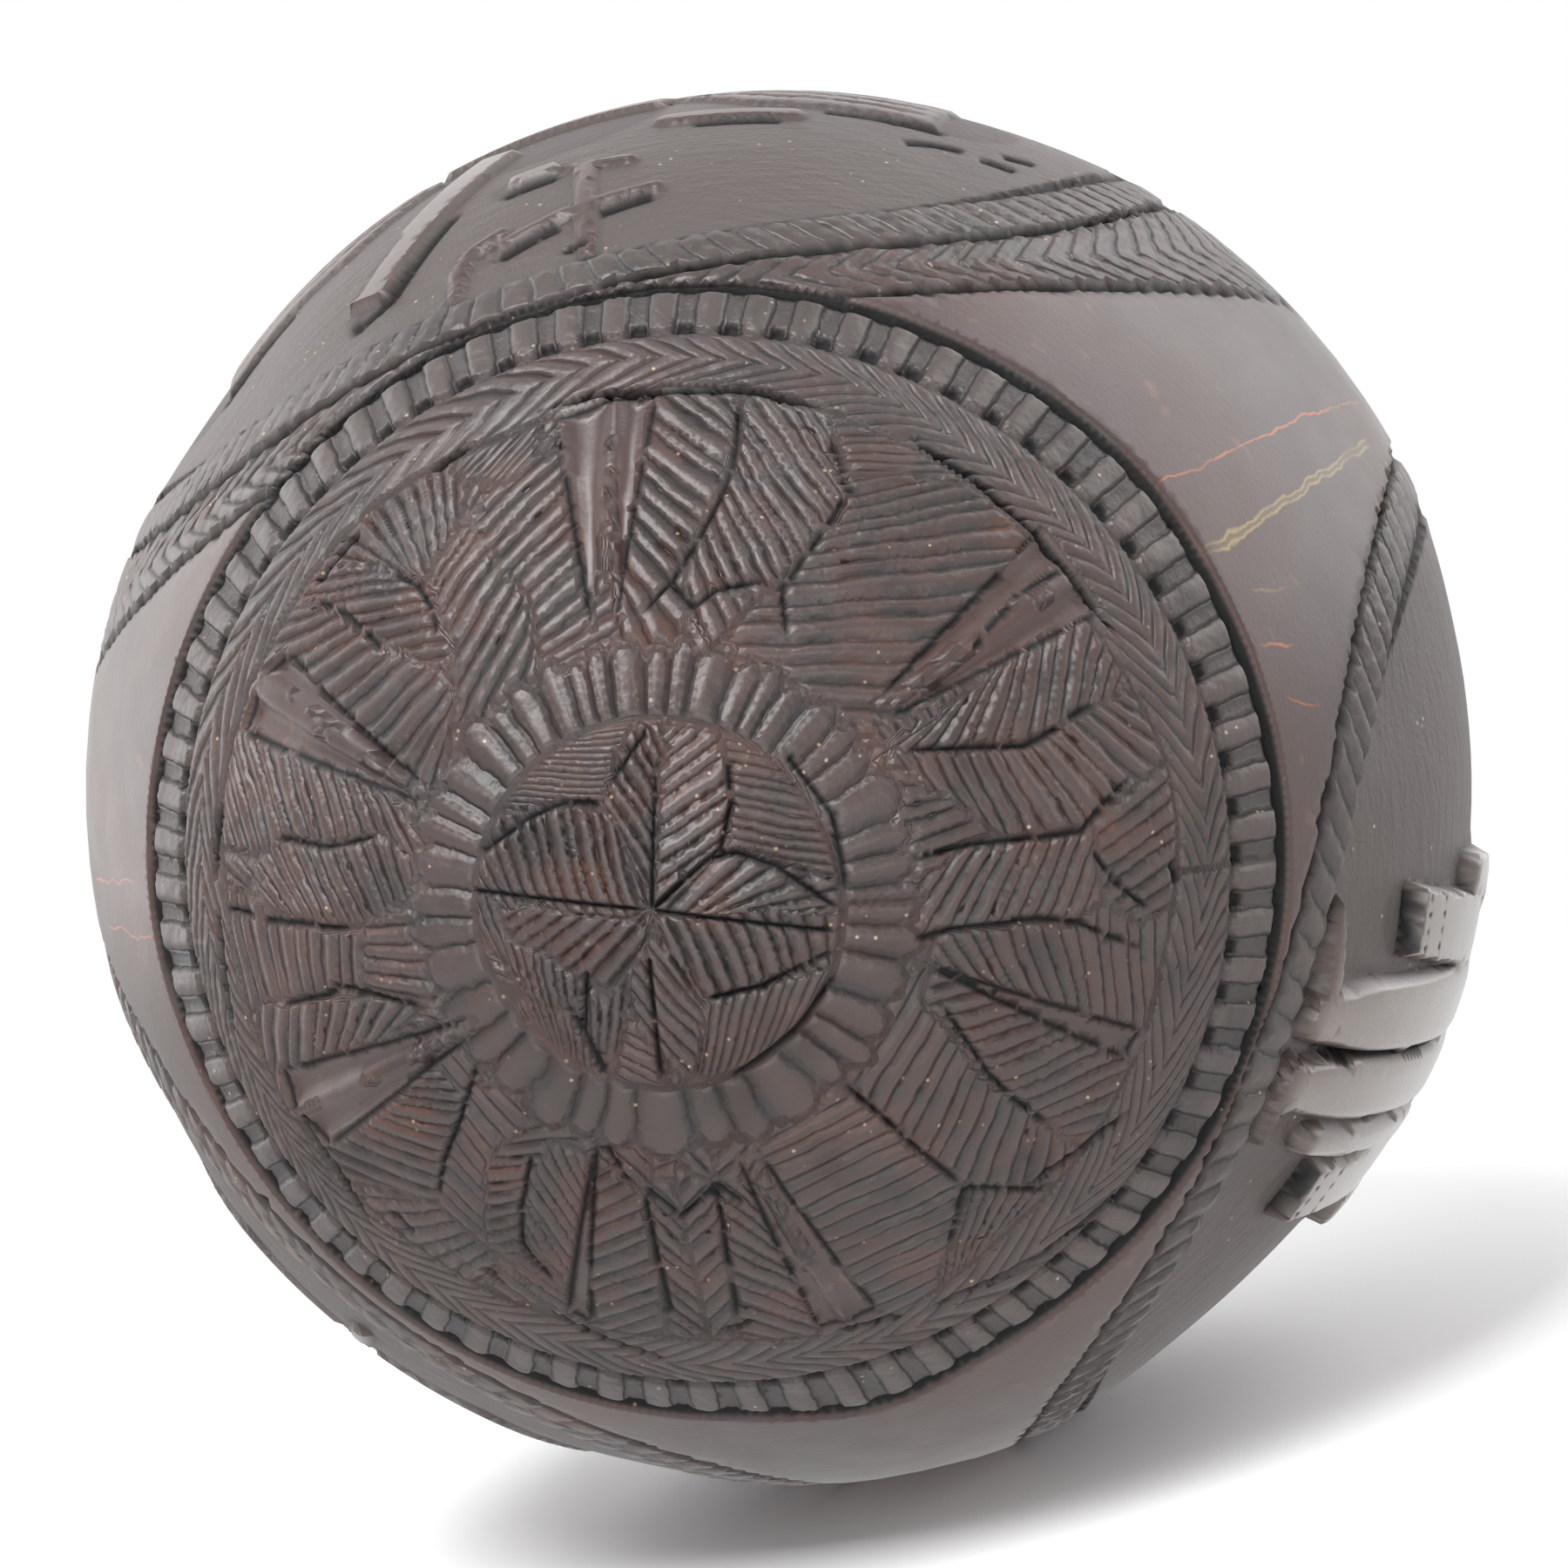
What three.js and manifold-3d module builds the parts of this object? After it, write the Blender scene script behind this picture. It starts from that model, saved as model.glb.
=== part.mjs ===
// Carved coconut flask lying on its side: a drilled-out nut shell with a
// carved medallion on its pointed end (-Y), three sunk side panels, and a
// turned neck with a pull-out stopper on its stem end (+Y). Millimetres, +Z up.
import * as THREE from 'three';
import { mergeVertices } from 'three/addons/utils/BufferGeometryUtils.js';
import Module from 'manifold-3d';

const wasm = await Module();
wasm.setup();

// Shell
const SHELL_RADIUS = 50;
const FRONT_LENGTH = 58;
const FRONT_POWER = 1.76;
const REAR_LENGTH = 62;
const SIDE_WALL = 4.4;
const NOSE_WALL = 4.4;
const REAR_WALL = 6;
const REST_DEPTH = 1;
const SHELL_SEGMENTS = 48;
const AXIS_Z = SHELL_RADIUS - REST_DEPTH;

// Carved rings on the front: distance from the pole along the surface, and depth
const DISC_GROOVE = [12.4, 0.4];
const LOBE_GROOVE = [17.8, 0.4];
const WREATH_GROOVE = [37.2, 0.5];
const BEAD_GROOVE = [42.6, 0.5];
const OUTER_GROOVE = [47, 0.7];
const GROOVE_HALF_WIDTH = 0.45;

// Sunk side panels: azimuth in degrees, half width and half height of the ground
const PANEL_ARC = 86;
const GROUND_DEPTH = 1.3;
const TOP_PANEL = { azimuth: 95.2, half_width: 41.5, half_height: 34 };
const RIGHT_PANEL = { azimuth: 325.7, half_width: 38.8, half_height: 34 };
const LEFT_PANEL = { azimuth: 219.5, half_width: 33.3, half_height: 30.5 };
const PANEL_SIDES = 32;
const PANEL_RINGS = [0.3, 0.55, 0.8, 1];

// Neck
const GAP = 0.3;
const SEAT_Y = 58;
const MOUTH_RADIUS = 9;
const NECK_BORE = 6.2;
const SPIGOT_END = 52;
const FLANGE_RADIUS = 15.5;
const FLANGE_THICK = 3;
const NECK_TOP = SEAT_Y + 13;
const SEAL_THICK = 1.2;
const PIN_RADIUS = 0.8;
const PIN_HOLE = 1.1;
const PIN_CIRCLE = 12.6;
const PIN_DEPTH = 2.6;
const ROUND_SIDES = 28;

// Stopper
const CORK_TOP_RADIUS = 5.85;
const CORK_END_RADIUS = 5.3;
const CORK_END_Y = SEAT_Y + 1;
const WASHER_RADIUS = 8.4;
const WASHER_THICK = 1;
const DOWEL_RADIUS = 1.2;
const DOWEL_HOLE = 1.5;
const DOWEL_LOW = SEAT_Y + 5.5;
const DOWEL_HIGH = SEAT_Y + 21;

const group = new THREE.Group();
group.name = 'carved_coconut_flask';

const SHELL_FINISH = new THREE.MeshStandardMaterial({ color: 0x4a3a34, roughness: 0.4 });
const WOOD_FINISH = new THREE.MeshStandardMaterial({ color: 0x5a3a22, roughness: 0.45 });
const CORK_FINISH = new THREE.MeshStandardMaterial({ color: 0xb48a5c, roughness: 0.85 });
const LEATHER_FINISH = new THREE.MeshStandardMaterial({ color: 0x6b4a30, roughness: 0.7 });
const BRASS_FINISH = new THREE.MeshStandardMaterial({ color: 0xb08d45, roughness: 0.3, metalness: 1 });

// Outline of the nut from its pointed end (t = 0) to its stem end (t = PI)
function meridian(t) {
  const c = Math.cos(t);
  const s = Math.max(Math.sin(t), 0);
  if (c > 0) {
    const power = 2 / FRONT_POWER;
    return [SHELL_RADIUS * s ** power, -FRONT_LENGTH * c ** power];
  }
  return [SHELL_RADIUS * s, -REAR_LENGTH * c];
}

const STEPS = 3000;
const ARC = [0];
const TRACK = [meridian(0)];
for (let i = 1; i <= STEPS; i += 1) {
  TRACK.push(meridian((Math.PI * i) / STEPS));
  const [r0, y0] = TRACK[i - 1];
  const [r1, y1] = TRACK[i];
  ARC.push(ARC[i - 1] + Math.hypot(r1 - r0, y1 - y0));
}

// Radius and height at a distance along the outline, moved along its normal
function atArc(distance, lift = 0) {
  let i = ARC.findIndex((a) => a >= distance);
  i = Math.min(Math.max(i, 1), STEPS);
  const f = (distance - ARC[i - 1]) / (ARC[i] - ARC[i - 1]);
  const [r0, y0] = TRACK[i - 1];
  const [r1, y1] = TRACK[i];
  const run = Math.hypot(r1 - r0, y1 - y0);
  const normalR = (y1 - y0) / run;
  const normalY = -(r1 - r0) / run;
  const r = r0 + (r1 - r0) * f + normalR * lift;
  const y = y0 + (y1 - y0) * f + normalY * lift;
  return [Math.max(r, 0), y];
}

// Point on the shell at a distance from the front pole and an azimuth in radians
function onShell(distance, azimuth, lift) {
  const [r, y] = atArc(distance, lift);
  return new THREE.Vector3(r * Math.cos(azimuth), y, AXIS_Z + r * Math.sin(azimuth));
}

// Closed solid from a three.js geometry
function toSolid(geometry) {
  const bare = new THREE.BufferGeometry();
  bare.setAttribute('position', geometry.getAttribute('position').clone());
  bare.setIndex(geometry.index ? geometry.index.clone() : null);
  const merged = mergeVertices(bare, 1e-4);
  const source = merged.index.array;
  const triangles = [];
  for (let i = 0; i < source.length; i += 3) {
    const [a, b, c] = [source[i], source[i + 1], source[i + 2]];
    if (a !== b && b !== c && c !== a) {
      triangles.push(a, b, c);
    }
  }
  const vertProperties = Float32Array.from(merged.getAttribute('position').array);
  const build = (tris) => new wasm.Manifold(
    new wasm.Mesh({ numProp: 3, vertProperties, triVerts: Uint32Array.from(tris) }),
  );
  const solid = build(triangles);
  if (solid.volume() > 0) {
    return solid;
  }
  const turned = [];
  for (let i = 0; i < triangles.length; i += 3) {
    turned.push(triangles[i], triangles[i + 2], triangles[i + 1]);
  }
  return build(turned);
}

// Named mesh from a solid
function addPart(name, solid, material) {
  const mesh = solid.getMesh();
  const corners = new Float32Array((mesh.vertProperties.length / mesh.numProp) * 3);
  for (let i = 0; i < corners.length / 3; i += 1) {
    for (let k = 0; k < 3; k += 1) {
      corners[i * 3 + k] = mesh.vertProperties[i * mesh.numProp + k];
    }
  }
  const geometry = new THREE.BufferGeometry();
  geometry.setAttribute('position', new THREE.BufferAttribute(corners, 3));
  geometry.setIndex(new THREE.BufferAttribute(Uint32Array.from(mesh.triVerts), 1));
  geometry.computeVertexNormals();
  const part = new THREE.Mesh(geometry, material);
  part.name = name;
  group.add(part);
  return part;
}

// Solid turned about the flask's axis from radius and height pairs
function turned(profile, segments = ROUND_SIDES) {
  const points = profile.map(([r, y]) => new THREE.Vector2(r, y));
  const geometry = new THREE.LatheGeometry(points, segments);
  geometry.translate(0, 0, AXIS_Z);
  return toSolid(geometry);
}

// Turned ring: the profile is closed back on its first point
function turnedRing(profile, segments = ROUND_SIDES) {
  return turned([...profile, profile[0]], segments);
}

// Round rod along the flask's axis at an offset from it
function rod(radius, low, high, x = 0, z = 0, sides = 12) {
  const geometry = new THREE.CylinderGeometry(radius, radius, high - low, sides);
  geometry.translate(x, (low + high) / 2, AXIS_Z + z);
  return toSolid(geometry);
}

function shellBody() {
  const marks = [0, 5, 15, 24, 31, 40, 44.7, 52, 58, 64, 70, 76, 82.86];
  marks.push(89, 95, 101, 107, 113, 120, 127, 134, 141, 148);
  const outline = marks.map((s) => [s, 0]);
  for (const [s, depth] of [DISC_GROOVE, LOBE_GROOVE, WREATH_GROOVE, BEAD_GROOVE, OUTER_GROOVE]) {
    outline.push([s - GROOVE_HALF_WIDTH, 0], [s, -depth], [s + GROOVE_HALF_WIDTH, 0]);
  }
  outline.sort((a, b) => a[0] - b[0]);
  const profile = outline.map(([s, lift]) => atArc(s, lift));
  const seatRadius = SHELL_RADIUS * Math.sqrt(1 - (SEAT_Y / REAR_LENGTH) ** 2);
  profile.push([seatRadius, SEAT_Y], [MOUTH_RADIUS, SEAT_Y]);
  const innerRear = REAR_LENGTH - REAR_WALL;
  const innerSide = SHELL_RADIUS - SIDE_WALL;
  const innerFront = FRONT_LENGTH - NOSE_WALL;
  profile.push([MOUTH_RADIUS, innerRear * Math.sqrt(1 - (MOUTH_RADIUS / innerSide) ** 2)]);
  for (const share of [0.38, 0.58, 0.76, 0.9, 0.98]) {
    profile.push([innerSide * share, innerRear * Math.sqrt(1 - share ** 2)]);
  }
  for (const angle of [90, 78, 66, 54, 42, 30, 18, 8, 0]) {
    const t = THREE.MathUtils.degToRad(angle);
    const power = 2 / FRONT_POWER;
    profile.push([innerSide * Math.sin(t) ** power, -innerFront * Math.max(Math.cos(t), 0) ** power]);
  }
  return turned(profile, SHELL_SEGMENTS);
}

// Shell outline sunk to the level of the panel grounds
function groundBody() {
  const profile = [];
  for (let s = 0; s < 171; s += 5) {
    profile.push(atArc(s, -GROUND_DEPTH));
  }
  profile[0][0] = 0;
  profile.push([0, REAR_LENGTH - GROUND_DEPTH]);
  return turned(profile, SHELL_SEGMENTS);
}

// Point in a panel: x across it and v along the flask, both on the surface
function inPanel(panel, x, v, lift) {
  const distance = PANEL_ARC + v;
  const [r] = atArc(distance);
  return onShell(distance, THREE.MathUtils.degToRad(panel.azimuth) + x / r, lift);
}

// Closed mesh from a top and a bottom sheet that share one triangulation and rim
function slab(top, bottom, faces, rim) {
  const geometry = new THREE.BufferGeometry();
  const corners = [...top, ...bottom].flatMap((p) => [p.x, p.y, p.z]);
  const n = top.length;
  const index = [];
  for (const [a, b, c] of faces) {
    index.push(a, b, c, n + a, n + c, n + b);
  }
  rim.forEach((a, i) => {
    const b = rim[(i + 1) % rim.length];
    index.push(a, n + a, n + b, a, n + b, b);
  });
  geometry.setAttribute('position', new THREE.Float32BufferAttribute(corners, 3));
  geometry.setIndex(index);
  return toSolid(geometry);
}

function panelBlock(panel) {
  const spots = [[0, 0]];
  for (const share of PANEL_RINGS) {
    for (let i = 0; i < PANEL_SIDES; i += 1) {
      const angle = (2 * Math.PI * i) / PANEL_SIDES;
      spots.push([share * panel.half_width * Math.cos(angle), share * panel.half_height * Math.sin(angle)]);
    }
  }
  const faces = [];
  for (let i = 0; i < PANEL_SIDES; i += 1) {
    const next = (i + 1) % PANEL_SIDES;
    faces.push([0, 1 + i, 1 + next]);
    for (let k = 1; k < PANEL_RINGS.length; k += 1) {
      const inner = 1 + (k - 1) * PANEL_SIDES;
      const outer = 1 + k * PANEL_SIDES;
      faces.push([inner + i, outer + i, outer + next], [inner + i, outer + next, inner + next]);
    }
  }
  const last = 1 + (PANEL_RINGS.length - 1) * PANEL_SIDES;
  const rim = Array.from({ length: PANEL_SIDES }, (_, i) => last + i);
  const sheet = (lift) => spots.map(([x, v]) => inPanel(panel, x, v, lift));
  return slab(sheet(4), sheet(-2.6), faces, rim);
}

// Raised piece of the carving in a panel, from a convex outline of x, v pairs
function reliefBlock(panel, outline) {
  const faces = [];
  for (let i = 1; i + 1 < outline.length; i += 1) {
    faces.push([0, i, i + 1]);
  }
  const sheet = (lift) => outline.map(([x, v]) => inPanel(panel, x, v, lift));
  return slab(sheet(4.5), sheet(-3), faces, outline.map((_, i) => i));
}

// Standing figure in a coat, feet towards the medallion
const FIGURE = [
  [[-6.5, -33], [8.5, -33], [8.5, -31], [-6.5, -31]],
  [[-5.8, -31], [6.6, -31], [6.6, -17], [-5.8, -17]],
  [[-12.5, -19], [12.8, -19], [9.5, -2], [-9.5, -2]],
  [[-7, -2], [7, -2], [9, 13], [-9, 13]],
  [[-4.4, 13], [4.4, 13], [4.4, 25], [-4.4, 25]],
];
// Upright sword between two crossed flags over a drum
const TROPHY = [
  [[-6.2, -31.5], [-3.4, -31.5], [-3.4, -14], [-6.2, -14]],
  [[-9.5, -27.6], [2, -28.4], [2, -26.6], [-9.5, -25.8]],
  [[-9, -12], [9, -12], [9, 4], [-9, 4]],
  [[9, -6], [22, -18], [27, -6], [16, 6]],
  [[-9, -6], [-22, -16], [-27, -4], [-16, 6]],
  [[-6, 4], [6, 4], [4, 22], [-4, 22]],
];
// Flower spray
const SPRAY = [
  [[-1.5, -24], [1.5, -24], [1.5, -8], [-1.5, -8]],
  [[-2, -16], [-14, -18], [-19, -8], [-8, -8]],
  [[2, -16], [14, -18], [19, -8], [8, -8]],
  [[-8, -6], [0, -9], [8, -6], [10, 2], [6, 9], [-6, 9], [-10, 2]],
];

function carvedShell() {
  const ground = groundBody();
  let shell = shellBody();
  for (const [panel, blocks] of [[TOP_PANEL, TROPHY], [RIGHT_PANEL, FIGURE], [LEFT_PANEL, SPRAY]]) {
    let cutter = panelBlock(panel).subtract(ground);
    for (const outline of blocks) {
      cutter = cutter.subtract(reliefBlock(panel, outline));
    }
    shell = shell.subtract(cutter);
  }
  const flat = toSolid(new THREE.BoxGeometry(60, 60, 10).translate(0, 0, -5));
  shell = shell.subtract(flat);
  for (const [x, z] of PIN_SPOTS) {
    shell = shell.subtract(rod(PIN_HOLE, SEAT_Y - PIN_DEPTH - GAP, SEAT_Y + 5, x, z));
  }
  return shell;
}

const PIN_SPOTS = [45, 135, 225, 315].map((angle) => {
  const turn = THREE.MathUtils.degToRad(angle);
  return [PIN_CIRCLE * Math.cos(turn), PIN_CIRCLE * Math.sin(turn)];
});

addPart('coconut_shell', carvedShell(), SHELL_FINISH);

// Bedding ring and turned neck, pinned to the shell
const sealLow = SEAT_Y + GAP;
const sealHigh = sealLow + SEAL_THICK;
const flangeLow = sealHigh + GAP;
const flangeHigh = flangeLow + FLANGE_THICK;
let seal = turnedRing([[9.4, sealLow], [15.2, sealLow], [15.2, sealHigh], [9.4, sealHigh]]);
let collar = turnedRing([
  [NECK_BORE, SPIGOT_END],
  [MOUTH_RADIUS - GAP, SPIGOT_END],
  [MOUTH_RADIUS - GAP, flangeLow],
  [FLANGE_RADIUS, flangeLow],
  [FLANGE_RADIUS, flangeHigh - 1.2],
  [FLANGE_RADIUS - 1.1, flangeHigh],
  [10.4, flangeHigh],
  [9, flangeHigh + 1.4],
  [8.6, NECK_TOP - 4],
  [10.2, NECK_TOP - 2.6],
  [10.4, NECK_TOP - 1.4],
  [9.6, NECK_TOP],
  [NECK_BORE, NECK_TOP],
]);
PIN_SPOTS.forEach(([x, z], i) => {
  const hole = rod(PIN_HOLE, SEAT_Y - 5, flangeHigh + 5, x, z);
  seal = seal.subtract(hole);
  collar = collar.subtract(hole);
  const headLow = flangeHigh + GAP;
  const pin = turned([
    [0, SEAT_Y - PIN_DEPTH],
    [PIN_RADIUS, SEAT_Y - PIN_DEPTH],
    [PIN_RADIUS, headLow],
    [1.7, headLow],
    [1.5, headLow + 0.7],
    [0.8, headLow + 1.1],
    [0, headLow + 1.2],
  ], 12).translate([x, 0, z]);
  addPart(`collar_pin_${i + 1}`, pin, BRASS_FINISH);
});
addPart('neck_seal', seal, LEATHER_FINISH);
addPart('neck_collar', collar, WOOD_FINISH);

// Stopper: cork, washer and knob on one dowel, drawn straight out of the neck
const washerLow = NECK_TOP + GAP;
const washerHigh = washerLow + WASHER_THICK;
const knobLow = washerHigh + GAP;
const corkHole = rod(DOWEL_HOLE, DOWEL_LOW - GAP, NECK_TOP + 5);
const cork = turned([
  [0, CORK_END_Y],
  [CORK_END_RADIUS - 0.4, CORK_END_Y],
  [CORK_END_RADIUS, CORK_END_Y + 0.5],
  [CORK_TOP_RADIUS, NECK_TOP - 0.4],
  [CORK_TOP_RADIUS - 0.4, NECK_TOP],
  [0, NECK_TOP],
]).subtract(corkHole);
addPart('stopper_cork', cork, CORK_FINISH);
addPart('stopper_washer', turnedRing([
  [DOWEL_HOLE, washerLow],
  [WASHER_RADIUS, washerLow],
  [WASHER_RADIUS, washerHigh],
  [DOWEL_HOLE, washerHigh],
]), LEATHER_FINISH);
const knob = turned([
  [0, knobLow],
  [8, knobLow],
  [8.6, knobLow + 0.8],
  [8.2, knobLow + 1.8],
  [5, knobLow + 2.8],
  [4, knobLow + 4.2],
  [4.8, knobLow + 5.6],
  [7, knobLow + 7.4],
  [7.6, knobLow + 9.4],
  [6.8, knobLow + 11.6],
  [4.4, knobLow + 13.4],
  [2.6, knobLow + 14],
  [2.4, knobLow + 15],
  [1.2, knobLow + 15.8],
  [0, knobLow + 16],
]).subtract(rod(DOWEL_HOLE, knobLow - 2, DOWEL_HIGH + GAP));
addPart('stopper_knob', knob, WOOD_FINISH);
addPart('stopper_pin', rod(DOWEL_RADIUS, DOWEL_LOW, DOWEL_HIGH), WOOD_FINISH);

export default group;
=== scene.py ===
"""Carved coconut flask: the looks of its shell, neck and stopper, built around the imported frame."""

import logging
import math
from dataclasses import dataclass, field, fields
from enum import Enum
from functools import cached_property
from typing import Any, Mapping, Optional, Sequence, Union

import bmesh
import bpy
import numpy as np
from mathutils import Matrix, Vector


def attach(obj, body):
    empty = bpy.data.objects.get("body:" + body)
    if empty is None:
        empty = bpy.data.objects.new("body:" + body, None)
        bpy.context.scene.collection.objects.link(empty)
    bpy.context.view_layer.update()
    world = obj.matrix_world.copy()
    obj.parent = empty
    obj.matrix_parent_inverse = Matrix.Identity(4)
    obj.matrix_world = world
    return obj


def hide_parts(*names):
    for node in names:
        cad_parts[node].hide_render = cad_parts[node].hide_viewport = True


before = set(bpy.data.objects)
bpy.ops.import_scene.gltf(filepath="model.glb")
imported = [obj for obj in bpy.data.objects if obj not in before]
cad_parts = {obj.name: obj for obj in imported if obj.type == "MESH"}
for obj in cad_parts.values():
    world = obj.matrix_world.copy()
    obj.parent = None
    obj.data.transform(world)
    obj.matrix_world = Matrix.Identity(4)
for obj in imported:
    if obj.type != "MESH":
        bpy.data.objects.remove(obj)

LOG = logging.getLogger("coconut_flask")
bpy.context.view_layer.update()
MM = 0.001
FULL_TURN = 2 * math.pi
TILT = math.radians(12.8)  # Turn of the medallion about the flask's axis
RIDGE = 0.64  # Place of the ridge between two cuts of a row
FULL_CUT = 0.4  # Depth in mm at which a cut has its full colour
SEAT = 58.0  # Axial place in mm of the flat that the neck sits on
NECK_TOP = 71.0  # Axial place in mm of the neck's lip
FIT_GAP = 0.3  # Gap in mm between fitted pieces
Array = np.ndarray
Pair = tuple[Array, Array]
Numbers = Sequence[float]
Line = Sequence[Numbers]
Colour = tuple[float, float, float, float]
WHITE: Colour = (1, 1, 1, 1)
BMesh = bmesh.types.BMesh
Material = bpy.types.Material
Piece = bpy.types.Object


class Body(Enum):
    """The two bodies that the pieces ride on."""

    FLASK = "flask"
    STOPPER = "stopper"


class Slot(Enum):
    """Material slots of the record."""

    SHELL = "shell"
    WOOD = "turned_wood"
    CORK = "cork"
    LEATHER = "leather"
    BRASS = "brass"


def linear(value: int) -> float:
    """Linear light of a display value of 0 to 255."""
    share = value / 255
    return share / 12.92 if share <= 0.04045 else ((share + 0.055) / 1.055) ** 2.4


def rgb(red: int, green: int, blue: int) -> Colour:
    """Linear colour from display values of 0 to 255."""
    return (linear(red), linear(green), linear(blue), 1.0)


def smooth(value: Array, low: float, high: float) -> Array:
    """Soft step that rises from 0 at low to 1 at high."""
    share = np.clip((value - low) / (high - low), 0, 1)
    return share * share * (3 - 2 * share)


def hump(value: Array, middle: float, spread: float) -> Array:
    """Soft hump that is 1 at its middle and falls to 0 at both sides."""
    return np.exp(-(((value - middle) / spread) ** 2))


def milestones(line: Array) -> Array:
    """Distance travelled along a line at each of its corner points."""
    return np.concatenate(([0.0], np.cumsum(np.hypot(*np.diff(line, axis=0).T))))


def along(line: Line, shares: Array) -> Array:
    """Points at shares of the length of a line.

    Args:
        line: Corner points of the line.
        shares: Values from 0 to 1, or a little outside to go on straight past an end.

    Returns:
        One point for each share.
    """
    points = np.asarray(line, float)
    steps = np.diff(points, axis=0)
    lengths = np.hypot(*steps.T)
    travelled = milestones(points)
    wanted = np.asarray(shares) * travelled[-1]
    spots = np.stack([np.interp(wanted, travelled, points[:, k]) for k in (0, 1)], axis=-1)
    before, after = np.minimum(wanted, 0), np.maximum(wanted - travelled[-1], 0)
    return spots + np.outer(before, steps[0] / lengths[0]) + np.outer(after, steps[-1] / lengths[-1])


def bite(number: Array) -> Array:
    """Share of the depth of a row of cuts: 1 at each whole number and 0 on the ridge after it."""
    way = number % 1
    return 0.5 + 0.5 * np.cos(math.pi * np.minimum(way / RIDGE, (1 - way) / (1 - RIDGE)))


def measure(line: Array, at: Array) -> tuple[Array, Array, Array]:
    """Places of points beside a line.

    Args:
        line: Corner points of the line.
        at: Points to measure.

    Returns:
        Signed distance (left is positive), share of the way along, and the nearest point.
    """
    steps = np.diff(line, axis=0)
    lengths = np.hypot(*steps.T)
    travelled = milestones(line)
    signed = np.full(len(at), np.inf)
    way = np.zeros(len(at))
    feet = np.zeros((len(at), 2))
    for start, step, length, before in zip(line, steps, lengths, travelled):
        gap = at - start
        share = np.clip(gap @ step / length**2, 0, 1)
        foot = start + share[:, None] * step
        off = at - foot
        distance = np.hypot(*off.T)
        side = np.where(step[0] * off[:, 1] - step[1] * off[:, 0] < 0, -1.0, 1.0)
        closer = distance < np.abs(signed)
        signed = np.where(closer, distance * side, signed)
        way = np.where(closer, (before + share * length) / travelled[-1], way)
        feet = np.where(closer[:, None], foot, feet)
    return signed, way, feet


@dataclass
class NutForm:
    """Outline of the nut in millimetres, from its pointed end to its stem end."""

    radius: float = 50.0
    front: float = 58.0
    power: float = 1.76
    rear: float = 62.0
    axis_height: float = 49.0
    steps: int = 6000

    def meridian(self, turn: Array) -> Pair:
        """Outline of the nut.

        Args:
            turn: Parameters from 0 at the nose to pi at the stem end.

        Returns:
            Radius and axial place at each parameter.
        """
        c = np.cos(turn)
        s = np.clip(np.sin(turn), 0, 1)
        lift = 2 / self.power
        r = self.radius * np.where(c > 0, s**lift, s)
        y = np.where(c > 0, -self.front * np.abs(c) ** lift, -self.rear * c)
        return r, y

    @cached_property
    def turns(self) -> Array:
        """Parameters of the measured outline."""
        return np.linspace(0, math.pi, self.steps + 1)

    @cached_property
    def arcs(self) -> Array:
        """Distance from the pointed end at each parameter."""
        return milestones(np.stack(self.meridian(self.turns), axis=-1))

    def ring(self, arc: Array) -> Pair:
        """Radius and axial place at a distance from the pointed end."""
        return self.meridian(np.interp(arc, self.arcs, self.turns))

    def locate(self, points: Array) -> Pair:
        """Finds points near the surface on the nut.

        Args:
            points: One x, y, z row for each point.

        Returns:
            Distance from the pointed end and azimuth of each point.
        """
        x, y, z = points[:, 0], points[:, 1], points[:, 2] - self.axis_height
        r = np.hypot(x, z)
        half = self.power / 2
        front = np.arctan2((r / self.radius) ** half, np.clip(-y / self.front, 0, None) ** half)
        rear = np.arctan2(r / self.radius, -y / self.rear)
        turn = np.where(y < 0, front, rear)
        return np.interp(turn, self.turns, self.arcs), np.arctan2(z, x)

    def place(self, arc: Array, azimuth: Array, lift: Array) -> Array:
        """Points on the nut, moved out along its normal.

        Args:
            arc: Distances from the pointed end.
            azimuth: Angles about the axis.
            lift: Heights above the surface.

        Returns:
            One x, y, z row for each point.
        """
        span = 0.02
        r, y = self.ring(arc)
        r1, y1 = self.ring(np.minimum(arc + span, self.arcs[-1]))
        r0, y0 = self.ring(np.maximum(arc - span, 0))
        run = np.hypot(r1 - r0, y1 - y0)
        radius = np.maximum(r + lift * (y1 - y0) / run, 0)
        reach = y - lift * (r1 - r0) / run
        return np.stack(
            [radius * np.cos(azimuth), reach, self.axis_height + radius * np.sin(azimuth)], axis=-1
        )


@dataclass(frozen=True)
class Stroke:
    """One cut of the knife: a line with a hollow wall at each side, which thins out at its ends."""

    line: Array
    depth: float
    width: float
    start: float = 0.05
    end: float = 0.2
    # Width of the painted shadow that lies beside the cut
    stain: float = 0.0
    hollow: float = 1.5


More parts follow.
